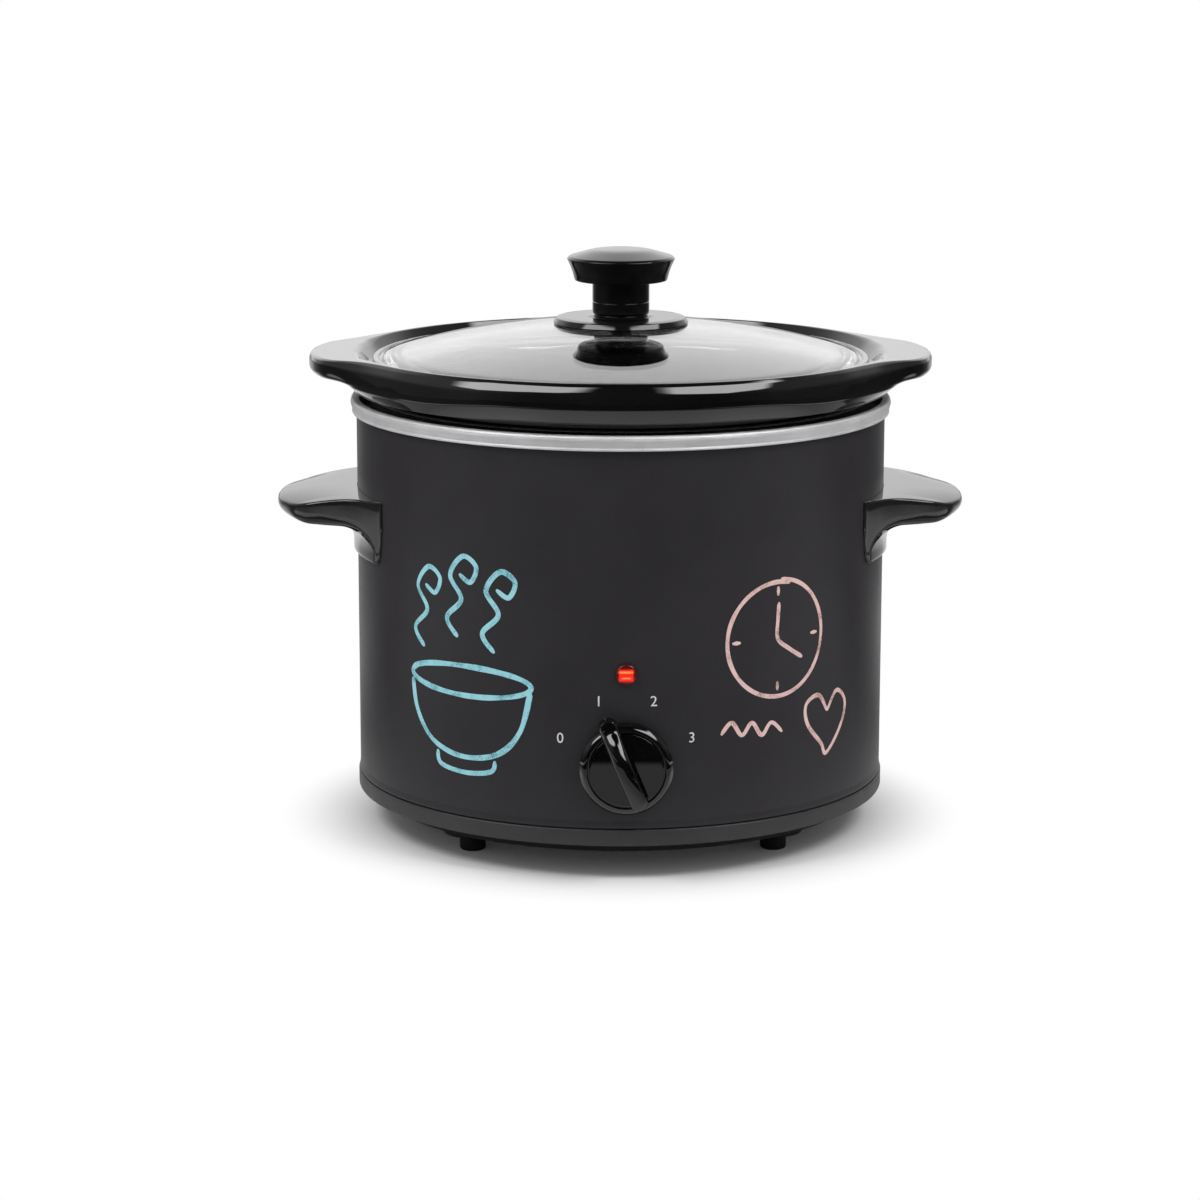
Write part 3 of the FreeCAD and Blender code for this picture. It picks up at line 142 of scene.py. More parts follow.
def linked(name, data):
    """A new object of the scene that shows this data."""
    item = bpy.data.objects.new(name, data)
    bpy.context.scene.collection.objects.link(item)
    return item


def fitted(name, shapes, body, slot, *nodes, finish=None, crease=CREASE):
    """A piece made of these shapes, which rides on a body and stands for these nodes."""
    piece = linked(name, mesh_of(name, shapes, crease))
    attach(piece, body)
    if nodes:
        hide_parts(*nodes)
    if finish:
        piece.data.materials.append(finish)
    return piece


def worked(piece, shapes, operation):
    """Cuts shapes out of a piece (DIFFERENCE) or moulds them on (UNION)."""
    for index, shape in enumerate(shapes):
        tool = linked(f"tool_{index}", mesh_of("tool", [shape]))
        change = piece.modifiers.new("work", "BOOLEAN")
        change.operation = operation
        change.solver = "EXACT"
        change.object = tool
        bpy.context.view_layer.update()
        shaped = piece.evaluated_get(bpy.context.evaluated_depsgraph_get())
        mesh = bpy.data.meshes.new_from_object(shaped)
        piece.modifiers.clear()
        piece.data = mesh
        bpy.data.objects.remove(tool)
    piece.data.shade_smooth()
    piece.data.set_sharp_from_angle(angle=math.radians(CREASE))


def second_finish(piece, chosen):
    """Gives a piece's second material to the faces chosen by their radius and height in millimetres."""
    for face in piece.data.polygons:
        if chosen(math.hypot(face.center.x, face.center.y) * 1000, face.center.z * 1000):
            face.material_index = 1


def wired(tree, shader_node, inputs):
    """Sets a node's inputs, each to a number, a colour or another node's output."""
    for socket, value in inputs.items():
        if isinstance(value, bpy.types.NodeSocket):
            tree.links.new(value, shader_node.inputs[socket])
        else:
            shader_node.inputs[socket].default_value = value


def placed(tree, kind, inputs=None, **settings):
    """Adds a shader node with these inputs and settings."""
    shader_node = tree.nodes.new(kind)
    for setting, value in settings.items():
        setattr(shader_node, setting, value)
    wired(tree, shader_node, inputs or {})
    return shader_node


def effect(name, takes, gives):
    """A new shader node group with these named sockets; returns its tree and its two end nodes."""
    tree = bpy.data.node_groups.new(name, "ShaderNodeTree")
    for socket, kind in takes:
        tree.interface.new_socket(socket, in_out="INPUT", socket_type=f"NodeSocket{kind}")
    for socket, kind in gives:
        tree.interface.new_socket(socket, in_out="OUTPUT", socket_type=f"NodeSocket{kind}")
    return tree, tree.nodes.new("NodeGroupInput"), tree.nodes.new("NodeGroupOutput")


def reckoned(tree, operation, *values, clamp=False):
    """The result of a math node on these values."""
    return placed(
        tree, "ShaderNodeMath", dict(enumerate(values)), operation=operation, use_clamp=clamp
    ).outputs[0]


def blended(tree, share, first, second):
    """A colour mix of two colours; returns the mixed colour."""
    mix = placed(tree, "ShaderNodeMix", {0: share, 6: first, 7: second}, data_type="RGBA")
    return mix.outputs[2]


def ranged(tree, value, low, high, to_low, to_high, soft=False):
    """A value mapped from one range to another, straight or with soft ends; returns the mapped value."""
    return placed(tree, "ShaderNodeMapRange", {
        "Value": value, "From Min": low, "From Max": high, "To Min": to_low, "To Max": to_high,
    }, interpolation_type="SMOOTHSTEP" if soft else "LINEAR").outputs[0]


def own_place(tree):
    """The piece's own coordinates."""
    return placed(tree, "ShaderNodeTexCoord").outputs["Object"]


def clouded(tree, scale, detail=2.0, rough=0.5, place=None):
    """The value of a noise of this scale over the piece's own coordinates, or over another place."""
    return placed(tree, "ShaderNodeTexNoise", {
        "Vector": place or own_place(tree), "Scale": scale, "Detail": detail, "Roughness": rough,
    }).outputs["Fac"]


def bumped(tree, height, lift):
    """The normal of a surface that rises by this lift in metres over a height of 1."""
    bump = placed(tree, "ShaderNodeBump", {"Height": height, "Distance": lift, "Strength": 1.0})
    return bump.outputs["Normal"]


def blank(name):
    """A new material, its node tree and its shader."""
    material = bpy.data.materials.new(name)
    material.use_nodes = True
    return material, material.node_tree, material.node_tree.nodes["Principled BSDF"]


def finished(name, group, takes, lift, plain):
    """A material on an effect group, with a bump of this lift and plain shader values."""
    material, tree, shader = blank(name)
    look = placed(tree, "ShaderNodeGroup", takes, node_tree=group).outputs
    for output, socket in (("Color", "Base Color"), ("Roughness", "Roughness"), ("Alpha", "Alpha")):
        if output in look:
            wired(tree, shader, {socket: look[output]})
    if lift:
        wired(tree, shader, {"Normal": bumped(tree, look["Height"], lift)})
    wired(tree, shader, plain)
    return material


# Grain of paint, rubber and mouldings: cloudy patches of two tones, patchy gloss and a fine surface height.
grain, grain_in, grain_out = effect(
    "surface_grain",
    [("Pale", "Color"), ("Deep", "Color"), ("Patch Scale", "Float"), ("Grain Scale", "Float"),
     ("Smooth", "Float"), ("Rough", "Float")],
    [("Color", "Color"), ("Roughness", "Float"), ("Height", "Float")],
)
patches = clouded(grain, grain_in.outputs["Patch Scale"], 4.0, 0.6)
fine_grain = clouded(grain, grain_in.outputs["Grain Scale"], 3.0, 0.55)
tone_share = reckoned(
    grain, "ADD", ranged(grain, patches, 0.32, 0.68, 0.0, 1.0),
    ranged(grain, fine_grain, 0.3, 0.7, -0.25, 0.25), clamp=True,
)
tone = blended(grain, tone_share, grain_in.outputs["Deep"], grain_in.outputs["Pale"])
gloss = ranged(grain, patches, 0.3, 0.7, grain_in.outputs["Smooth"], grain_in.outputs["Rough"])
wired(grain, grain_out, {"Color": tone, "Roughness": gloss, "Height": fine_grain})


def grained(name, pale, deep, patch, fine, smooth, rough, lift, plain=None):
    """A material on the grain group."""
    return finished(name, grain, {
        "Pale": (*pale, 1), "Deep": (*deep, 1), "Patch Scale": patch, "Grain Scale": fine,
        "Smooth": smooth, "Rough": rough,
    }, lift, plain or {})


base = fitted("moulded_base", [turned(rounded(base_section), 256)], "base", "base_plastic", "base_plate")
foot_places = {
    f"{end}_{side}": Matrix.Translation((across * FOOT_PLACE, back * FOOT_PLACE, 0))
    for end, back in (("front", -1), ("rear", 1)) for side, across in (("left", -1), ("right", 1))
}
boss_line = post(BOSS_RADIUS, BOSS_BOTTOM, BOSS_TOP, 0.6)
stem_line = post(STEM_HOLE, CUT_BOTTOM, CUT_TOP)
vent_outline = rounded([
    (VENT_START, -VENT_HALF_WIDTH, VENT_ROUND), (VENT_END, -VENT_HALF_WIDTH, VENT_ROUND),
    (VENT_END, VENT_HALF_WIDTH, VENT_ROUND), (VENT_START, VENT_HALF_WIDTH, VENT_ROUND),
])
worked(base, [turned(boss_line, 64, place) for place in foot_places.values()], "UNION")
base_cuts = []
for index in range(VENT_COUNT):
    turn = spun(360 / VENT_COUNT * (index + 0.5))
    base_cuts.append(skinned([
        [turn @ Vector((point.x, point.y, level)) for point in vent_outline] for level in (CUT_BOTTOM, CUT_TOP)
    ], wrap=False))
base_cuts += [turned(stem_line, 48, place) for place in foot_places.values()]
worked(base, base_cuts, "DIFFERENCE")
base.data.materials.append(grained(
    "satin_base_plastic", (0.037, 0.0352, 0.037), (0.030, 0.0285, 0.030), 60, 2600, 0.36, 0.46, 0.00003
))
# The pan's faces under the trim take a near-black copy of the base plastic: painted shade under the base.
base.data.materials.append(grained(
    "painted_shade_pan_plastic", (0.005, 0.005, 0.005), (0.003, 0.003, 0.003), 60, 900, 0.6, 0.75, 0.00008,
    {"Specular IOR Level": 0.25},
))
second_finish(base, lambda radius, height: radius < PAN_SHADE_EDGE and height < TRIM_BOTTOM + 0.2)

# Feet: moulded in matt black rubber, with rounded soles that are slightly hollow in the middle.
# Each is pushed up through a boss of the base, where a barb on its stem holds it.
FOOT_RADIUS, SOLE_HOLLOW = 5.8, 0.35
STEM_RADIUS, BARB_RADIUS, BARB_BOTTOM, STEM_TOP = 3.0, 4.4, 13.15, 16.15
foot_line = rounded([
    (0, SOLE_HOLLOW, 0), (2.6, SOLE_HOLLOW, 0.2), (3.0, 0.0, 0.2), (FOOT_RADIUS, 0.0, 1.3),
    (FOOT_RADIUS, BOSS_BOTTOM, 0.35), (STEM_RADIUS, BOSS_BOTTOM, 0.2), (STEM_RADIUS, BARB_BOTTOM, 0.2),
    (BARB_RADIUS, BARB_BOTTOM, 0.3), (STEM_RADIUS, STEM_TOP, 0.5), (0, STEM_TOP, 0),
])
foot_rubber = grained(
    "matt_foot_rubber", (0.006, 0.006, 0.006), (0.0035, 0.0035, 0.0035), 90, 3200, 0.6, 0.8, 0.00004,
    {"Specular IOR Level": 0.25},
)
for corner, place in foot_places.items():
    fitted(
        f"rubber_foot_{corner}", [turned(foot_line, 64, place)], "base", "foot_rubber", f"foot_{corner}",
        finish=foot_rubber,
    )

# Drum: rolled steel sheet, painted matt chalkboard black, with a hem that ends in a fine gap over the trim.
# Holes are punched for the switch, the lamp, the cord bush and the handles' screws.
DRUM_RADIUS, DRUM_BORE, DRUM_TOP = 120.0, 119.2, 193.9
HEM_BOTTOM, HEM_EDGE, HEM_TOP = 23.3, 24.6, 26.6
FRONT, BACK, RIGHT, LEFT = 270, 90, 0, 180
DIAL_HEIGHT, SWITCH_HOLE = 51.2, 5.15
LAMP_HEIGHT, LAMP_HOLE = 91.8, 4.05
INLET_HEIGHT, INLET_HOLE = 46.8, 7.15
SCREW_HEIGHT, SCREW_HOLE, SCREW_SPREAD = 147.6, 2.15, 28.0
HOLE_START, HOLE_END = 110.0, 130.0
drum_section = [
    (119.4, HEM_BOTTOM, 0.15), (120.25, HEM_BOTTOM, 0.3), (120.2, HEM_EDGE, 0.5),
    (DRUM_RADIUS, HEM_TOP, 2.0), (DRUM_RADIUS, DRUM_TOP, 0.2), (DRUM_BORE, DRUM_TOP, 0.2),
    (DRUM_BORE, HEM_TOP, 2.0), (119.4, HEM_EDGE, 0.5),
]


def bored(radius, angle, height):
    """A cylinder along a radius of the drum, for a hole at this angle and height."""
    place = spun(angle) @ Matrix.Translation((0, 0, height)) @ spun(90, "Y")
    return turned(post(radius, HOLE_START, HOLE_END), 48, place)


drum = fitted("painted_drum", [turned(rounded(drum_section), 288)], "base", "drum_paint", "outer_shell")
drum_holes = [
    bored(SWITCH_HOLE, FRONT, DIAL_HEIGHT), bored(LAMP_HOLE, FRONT, LAMP_HEIGHT),
    bored(INLET_HOLE, BACK, INLET_HEIGHT),
]
screw_angle = math.degrees(math.asin(SCREW_SPREAD / DRUM_RADIUS))
for side_angle in (RIGHT, LEFT):
    for lean in (-screw_angle, screw_angle):
        drum_holes.append(bored(SCREW_HOLE, side_angle + lean, SCREW_HEIGHT))
worked(drum, drum_holes, "DIFFERENCE")
drum.data.materials.append(grained(
    "matt_chalkboard_paint", (0.0284, 0.0262, 0.0292), (0.0244, 0.0224, 0.0252), 28, 1500, 0.32, 0.38,
    0.00002, {"IOR": 1.45, "Specular IOR Level": 0.4},
))

# Setting numbers: plain figures screen-printed in pale grey on the drum, in an arc about the dial.
# The ink is a thin film that follows the drum's curve, one figure for each click of the switch.
NUMBER_HEIGHT, NUMBER_RING = 4.5, 31.0
SETTING_STEP = 45.0
INK_LIFT, INK_FILM = 0.05, 3.0


def on_drum(across, up, lift):
    """The point on the drum's skin at this distance round from the front and this height."""
    angle = across / DRUM_RADIUS
    radius = DRUM_RADIUS + lift
    return Vector((radius * math.sin(angle), -radius * math.cos(angle), up))


def printed(text, across, up, height):
    """Vertices and faces of a figure of this height, centred here and laid on the drum."""
    curve = bpy.data.curves.new("figure", "FONT")
    curve.body = text
    curve.align_x = "CENTER"
    curve.align_y = "CENTER"
    curve.resolution_u = 6
    curve.extrude = 0.01
    holder = linked("figure", curve)
    bpy.context.view_layer.update()
    mesh = bpy.data.meshes.new_from_object(holder.evaluated_get(bpy.context.evaluated_depsgraph_get()))
    low = min(vertex.co.y for vertex in mesh.vertices)
    tall = max(vertex.co.y for vertex in mesh.vertices) - low
    scale = height / tall
    vertices = [
        on_drum(across + v.co.x * scale, up + (v.co.y - low - tall / 2) * scale, INK_LIFT + v.co.z * INK_FILM)
        for v in mesh.vertices
    ]
    faces = [tuple(polygon.vertices) for polygon in mesh.polygons]
    bpy.data.objects.remove(holder)
    return vertices, faces


figures = []
for setting in range(4):
    turn = math.radians(SETTING_STEP * (setting - 1.5))
    across, up = NUMBER_RING * math.sin(turn), DIAL_HEIGHT + NUMBER_RING * math.cos(turn)
    figures.append(printed(str(setting), across, up, NUMBER_HEIGHT))
fitted("setting_numbers", figures, "base", "drum_paint", finish=grained(
    "pale_printing_ink", (0.72, 0.72, 0.73), (0.6, 0.6, 0.61), 300, 4000, 0.5, 0.6, 0.00001
))

# Chalk drawings: soft chalk on the board paint, a steaming bowl in blue and a clock with a heart in pink.
# Each stroke is a thin powdery ridge that thins out at its ends and lets the paint show through.
RIDGE_EDGE, RIDGE_TOP, RIDGE_UNDER = 0.03, 0.12, 0.015
TAPER_START, TAPER_STEP = 0.45, 0.18
WOBBLE, WOBBLE_SCALE = 0.22, 0.11
CLOCK_ACROSS, CLOCK_UP, CLOCK_RADIUS = 70, 103, 25
STEAM = (
    (-78, 99), (-84, 107), (-76, 116), (-82, 126), (-75, 135), (-68, 131), (-71, 124), (-77, 127),
)
chalk, chalk_in, chalk_out = effect(
    "chalk_powder", [("Body", "Color"), ("Dusty", "Color")], [("Color", "Color"), ("Alpha", "Float")]
)
powder = clouded(chalk, 1400, 3.0, 0.7)
drag = clouded(chalk, 160)
chalk_tone = blended(chalk, drag, chalk_in.outputs["Body"], chalk_in.outputs["Dusty"])
chalk_cover = ranged(chalk, reckoned(chalk, "ADD", powder, drag), 0.72, 0.98, 0.35, 1.0)
wired(chalk, chalk_out, {"Color": chalk_tone, "Alpha": chalk_cover})


def smooth_path(points, step=0.7):
    """Points at an even step along a smooth line through the given ones."""
    path = []
    ends = [points[0]] + list(points) + [points[-1]]
    for index in range(1, len(ends) - 2):
        before, start, end, after = (Vector(point) for point in ends[index - 1:index + 3])
        count = max(2, round((end - start).length / step))
        for part in range(count):
            share = part / count
            square, cube = share ** 2, share ** 3
            path.append(0.5 * (
                2 * start + (end - before) * share + (2 * before - 5 * start + 4 * end - after) * square
                + (3 * start - before - 3 * end + after) * cube
            ))
    path.append(Vector(points[-1]))
    return path


def stroke(points, width):
    """Vertices and faces of one chalk stroke, a thin lens-shaped ridge laid on the drum."""
    path = smooth_path(points)
    rings = []
    for index, point in enumerate(path):
        way = path[min(index + 1, len(path) - 1)] - path[max(index - 1, 0)]
        side = Vector((-way.y, way.x)).normalized()
        from_end = min(index, len(path) - 1 - index)
        taper = min(1, TAPER_START + from_end * TAPER_STEP)
        wobble = 1 + WOBBLE * noise.noise(Vector((point.x * WOBBLE_SCALE, point.y * WOBBLE_SCALE, width)))
        half = side * (width / 2 * taper * wobble)
        left, right = point + half, point - half
        rings.append([
            on_drum(left.x, left.y, RIDGE_EDGE), on_drum(point.x, point.y, RIDGE_TOP),
            on_drum(right.x, right.y, RIDGE_EDGE), on_drum(point.x, point.y, RIDGE_UNDER),
        ])
    return skinned(rings, wrap=False)


def looped(across, up, wide, tall, start, end, grow):
    """Points of a freehand oval about a centre, from one angle to another in degrees."""
    points = []
    for step in range(25):
        share = step / 24
        angle = math.radians(start + (end - start) * share)
        size = 1 + grow * share
        points.append((across + wide * size * math.cos(angle), up + tall * size * math.sin(angle)))
    return points


def chalked(name, strokes, body_colour, dusty_colour):
    """Lays a drawing's strokes on the drum in chalk of these two tones."""
    powdery = finished(f"{name}_powder", chalk, {
        "Body": (*body_colour, 1), "Dusty": (*dusty_colour, 1),
    }, None, {"Roughness": 0.95, "Specular IOR Level": 0.1})
    fitted(name, strokes, "base", "drum_paint", finish=powdery, crease=80)


blue_strokes = [
    stroke(looped(-74, 84, 32, 6.5, 150, 530, 0.02), 2.4),
    stroke([(-106, 81), (-103, 67), (-93, 55), (-76, 50), (-58, 53), (-47, 64), (-42, 82)], 2.5),
    stroke([(-90, 51), (-88, 45), (-74, 43), (-61, 45), (-59, 50)], 2.2),
]
for shift, rise in ((-20, -3), (0, 4), (19, -1)):
    blue_strokes.append(stroke([(across + shift, up + rise) for across, up in STEAM], 2.3))
chalked("chalk_bowl_drawing", blue_strokes, (0.19, 0.55, 0.64), (0.42, 0.72, 0.78))
heart = [
    (101, 66), (95, 74), (87, 71), (88, 62), (97, 52), (101, 47), (112, 58), (115, 68), (108, 74), (101, 66),
]
pink_strokes = [
    stroke(looped(CLOCK_ACROSS, CLOCK_UP, CLOCK_RADIUS, CLOCK_RADIUS, 75, 447, 0.05), 1.9),
    stroke([(70.5, 119), (70, 112), (70, 103), (76, 98), (84, 93)], 1.9),
    stroke(heart, 1.9),
    stroke([(42, 63), (47, 68), (52, 62), (57, 67), (62, 61), (67, 66), (73, 61)], 1.8),
]
for angle in (0, 90, 180, 270):
    turn = math.radians(angle)
    pink_strokes.append(stroke([
        (CLOCK_ACROSS + reach * math.cos(turn), CLOCK_UP + reach * math.sin(turn)) for reach in (19, 21, 23)
    ], 1.8))
chalked("chalk_clock_drawing", pink_strokes, (0.66, 0.40, 0.37), (0.80, 0.60, 0.58))

# Heating well: spun aluminium, its lip rolled out and down over the drum's top edge as the silver rim.
# Spinning and polishing leave fine lines round the axis; the trough behind the rim is painted near black as
# shade.
WELL_RADIUS, WELL_BORE, WELL_BOTTOM, WELL_FLOOR = 105.0, 104.0, 68.0, 69.0
LIP_TOP, LIP_UNDER = 195.2, 194.2
TROUGH_UNDER, TROUGH_TOP = 188.2, 189.2
TROUGH_SHADE_INNER, TROUGH_SHADE_OUTER, TROUGH_SHADE_FLOOR = 112.9, 118.4, 189.0
well_section = [
    (0, WELL_BOTTOM, 0), (WELL_RADIUS, WELL_BOTTOM, 8.0), (WELL_RADIUS, LIP_UNDER, 0.4),
    (112.4, LIP_UNDER, 0.2), (112.7, TROUGH_UNDER, 0.3), (118.2, TROUGH_UNDER, 0.3), (118.9, 194.15, 0.15),
    (121.4, LIP_UNDER, 1.2), (120.9, 188.6, 0.35), (121.8, 188.6, 0.25), (122.05, 189.15, 0.25),
    (121.75, 190.0, 0.4), (122.7, 192.9, 2.0), (122.3, LIP_TOP, 2.0), (118.9, 195.05, 0.8),
    (117.4, TROUGH_TOP, 0.8), (113.7, TROUGH_TOP, 0.4), (113.2, LIP_TOP, 0.3), (WELL_BORE, LIP_TOP, 0.8),
    (WELL_BORE, WELL_FLOOR, 7.0), (0, WELL_FLOOR, 0),
]
well = fitted("spun_well", [turned(rounded(well_section), 256)], "base", "well_aluminium", "heating_liner")
brushing, brushing_in, brushing_out = effect(
    "turned_brushing",
    [("Pale", "Color"), ("Deep", "Color"), ("Smooth", "Float"), ("Rough", "Float"), ("Lines", "Float")],
    [("Color", "Color"), ("Roughness", "Float"), ("Height", "Float")],
)


def axes_of(tree, place):
    """The X, Y and Z of a place or direction."""
    return placed(tree, "ShaderNodeSeparateXYZ", {0: place}).outputs


metal_axes = axes_of(brushing, own_place(brushing))
flat_place = placed(brushing, "ShaderNodeCombineXYZ", {0: metal_axes[0], 1: metal_axes[1], 2: 0.0})
off_axis = placed(brushing, "ShaderNodeVectorMath", {0: flat_place.outputs[0]}, operation="LENGTH")
slow_bearing = reckoned(
    brushing, "MULTIPLY", reckoned(brushing, "ARCTAN2", metal_axes[1], metal_axes[0]), 0.004
)
lathe_place = placed(brushing, "ShaderNodeCombineXYZ", {
    0: off_axis.outputs["Value"], 1: slow_bearing, 2: metal_axes[2],
}).outputs[0]
spin_lines = clouded(brushing, brushing_in.outputs["Lines"], 5.0, 0.7, lathe_place)
mottle = clouded(brushing, 85, 3.0, 0.6)
metal_share = reckoned(
    brushing, "ADD", ranged(brushing, spin_lines, 0.3, 0.7, 0.0, 0.6),
    ranged(brushing, mottle, 0.35, 0.65, 0.0, 0.4), clamp=True,
)
metal_tone = blended(brushing, metal_share, brushing_in.outputs["Deep"], brushing_in.outputs["Pale"])
metal_gloss = ranged(brushing, mottle, 0.3, 0.7, brushing_in.outputs["Smooth"], brushing_in.outputs["Rough"])
wired(brushing, brushing_out, {"Color": metal_tone, "Roughness": metal_gloss, "Height": spin_lines})


def brushed(name, pale, deep, smooth, rough, lines, lift, metallic=1.0):
    """A bare metal on the brushing group."""
    return finished(name, brushing, {
        "Pale": (*pale, 1), "Deep": (*deep, 1), "Smooth": smooth, "Rough": rough, "Lines": lines,
    }, lift, {"Metallic": metallic})


well.data.materials.append(brushed(
    "spun_aluminium", (0.95, 0.95, 0.96), (0.78, 0.78, 0.79), 0.48, 0.62, 1700, 0.00002, metallic=0.7
))
# A near-black copy of the aluminium on the trough behind the rim: painted shade in the gap under the crock's
# flange.
well.data.materials.append(brushed(
    "painted_shade_trough_aluminium", (0.05, 0.05, 0.05), (0.03, 0.03, 0.03), 0.6, 0.75, 1700, 0.00002
))
second_finish(well, lambda radius, height: TROUGH_SHADE_INNER < radius < TROUGH_SHADE_OUTER and height > TROUGH_SHADE_FLOOR)

# Heater and cut-out: a rolled steel band with a mica element clamped round the well by a screw and nut, and
# a thermal fuse in a spring clip under the well's floor.


def dressed(material, *names):
    """Gives CAD nodes that are already the right shape a finish of their own."""
    for name in names:
        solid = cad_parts[name]
        solid.data.materials.clear()
        solid.data.materials.append(material)


dressed(brushed("rolled_band_steel", (0.50, 0.49, 0.47), (0.34, 0.33, 0.32), 0.32, 0.5, 900, 0.00003),
        "heater_band", "thermal_fuse")
zinc = brushed("zinc_plated_steel", (0.58, 0.58, 0.55), (0.44, 0.45, 0.44), 0.22, 0.38, 2400, 0.00001)
spring_steel = brushed("blued_spring_steel", (0.34, 0.34, 0.36), (0.24, 0.24, 0.26), 0.2, 0.34, 2000, 0.00001)
dressed(zinc, "heater_clamp_screw", "heater_clamp_nut")
dressed(spring_steel, "fuse_clip")

# Centre stud and earth tag: a zinc-plated stud welded under the well draws the base up with a washer and nut,
# and carries a brass tag for the earth wire.
brass = brushed("machined_brass", (0.70, 0.52, 0.22), (0.56, 0.40, 0.15), 0.24, 0.36, 2600, 0.00001)
dressed(zinc, "centre_stud", "stud_washer", "stud_nut")
dressed(brass, "earth_tag")

# Supply block and wiring: a pale moulded terminal block with three screws on the pan's floor, and leads in
# braided glass sleeves up to the switch, the lamp, the fuse and the heater.
dressed(grained(
    "pale_block_plastic", (0.74, 0.73, 0.69), (0.66, 0.65, 0.60), 120, 2200, 0.4, 0.52, 0.00002
), "terminal_block")
dressed(zinc, "terminal_screws")
dressed(grained(
    "braided_glass_sleeve", (0.66, 0.63, 0.55), (0.48, 0.45, 0.38), 700, 2400, 0.7, 0.85, 0.0002
), "live_lead", "heater_lead", "lamp_lead", "neutral_lead")

# Cord bush: a snap-in rubber bush that lines the inlet at the back of the drum.
# Its flange covers the hole's edge outside, and a sloped lip inside keeps it from pulling out.
BUSH_BORE, BUSH_RADIUS, BUSH_LIP, BUSH_FLANGE = 3.8, 7.0, 8.0, 9.0
bush_place = Matrix.Translation((0, DRUM_RADIUS, INLET_HEIGHT)) @ spun(-90, "X")
bush_section = [
    (BUSH_BORE, -3.69, 0.3), (BUSH_RADIUS, -3.69, 0.3), (BUSH_LIP, -2.49, 0.3), (BUSH_LIP, -1.29, 0.2),
    (BUSH_RADIUS, -1.29, 0.2), (BUSH_RADIUS, 0.15, 0.1), (BUSH_FLANGE, 0.15, 0.3), (BUSH_FLANGE, 1.25, 0.8),
    (7.9, 2.35, 0.6), (BUSH_BORE, 2.35, 0.5),
]
bush_rubber = grained(
    "satin_bush_rubber", (0.016, 0.016, 0.016), (0.010, 0.010, 0.010), 120, 2600, 0.4, 0.55, 0.00003
)
bush_skin = turned(rounded(bush_section, 4), 96, bush_place)
fitted("inlet_bush", [bush_skin], "base", "bush_rubber", "cord_bush", finish=bush_rubber)

# Rotary switch: a moulded housing behind the drum with a brass bushing and nut through its hole, push-on tabs
# at the back and a rotor on a steel spindle, which turn with the dial.
switch_plastic = grained(
    "cream_switch_plastic", (0.60, 0.56, 0.48), (0.52, 0.48, 0.40), 140, 2400, 0.38, 0.5, 0.00002
)
dressed(switch_plastic, "switch_body", "switch_back", "switch_rotor")
dressed(brass, "switch_bushing", "switch_nut", "switch_terminals")
dressed(zinc, "switch_spindle")
dressed(spring_steel, "dial_spring")

# Indicator lamp: a domed red lens pushed through the drum and held by a spring ring, with a neon bulb behind.
# Lit, its middle glows in a squarish patch with two paler bars where the bulb's electrodes show through.
BARREL_RADIUS, BARREL_BORE, BARREL_END, LENS_RADIUS = 3.9, 2.9, -8.0, 4.7
lens_place = Matrix.Translation((0, -DRUM_RADIUS, LAMP_HEIGHT)) @ spun(90, "X")
lens_section = [
    (BARREL_RADIUS, BARREL_END, 0.2), (BARREL_RADIUS, 0.15, 0.1), (LENS_RADIUS, 0.15, 0.1),
    (LENS_RADIUS, 1.0, 0.5), (4.2, 1.65, 0.7), (2.6, 2.02, 3.0), (0, 2.2, 0), (0, 0.2, 0),
    (BARREL_BORE, 0.2, 0.3), (BARREL_BORE, BARREL_END, 0.2),
]
lens_red, lens_tree, lens_shader = blank("lit_red_lens")
lens_axes = axes_of(lens_tree, own_place(lens_tree))


def strip(tree, value, centre, half, soft):
    """1 where a value is within half of a centre, fading to 0 over a soft edge."""
    away = reckoned(tree, "ABSOLUTE", reckoned(tree, "SUBTRACT", value, centre))
    return ranged(tree, away, half + soft, half - soft, 0.0, 1.0, soft=True)


def glowing(across, up):
    """A mask of the lens from a centre, a half width and a soft edge, across and upwards in metres."""
    return reckoned(
        lens_tree, "MULTIPLY", strip(lens_tree, lens_axes[0], *across), strip(lens_tree, lens_axes[2], *up)
    )


lit_patch = glowing((-0.0001, 0.0031, 0.0006), (0.0916, 0.0026, 0.0006))
upper_bar = glowing((-0.0002, 0.0028, 0.0012), (0.0930, 0.0004, 0.0004))
lower_bar = glowing((-0.0001, 0.0018, 0.0008), (0.0904, 0.0003, 0.0003))
bars = reckoned(lens_tree, "MAXIMUM", upper_bar, lower_bar)
glow = blended(lens_tree, lit_patch, (0.016, 0.002, 0.0015, 1), (0.80, 0.014, 0.010, 1))
glow = blended(lens_tree, bars, glow, (1.0, 0.33, 0.07, 1))
lens_body = blended(lens_tree, lit_patch, (0.055, 0.005, 0.004, 1), (0.30, 0.010, 0.008, 1))
wired(lens_tree, lens_shader, {
    "Base Color": lens_body, "Emission Color": glow, "Emission Strength": 1.0, "Roughness": 0.09,
})
lens_skin = turned(rounded(lens_section), 96, lens_place)
fitted("red_lens", [lens_skin], "base", "lens_red", "lamp_lens", finish=lens_red)
dressed(spring_steel, "lamp_clip")
bulb_glass, bulb_tree, bulb_shader = blank("neon_bulb_glass")
wired(bulb_tree, bulb_shader, {
    "Base Color": (0.95, 0.62, 0.42, 1), "Roughness": 0.05, "Transmission Weight": 0.85,
    "Normal": bumped(bulb_tree, clouded(bulb_tree, 600), 0.00002),
})
dressed(bulb_glass, "neon_bulb")

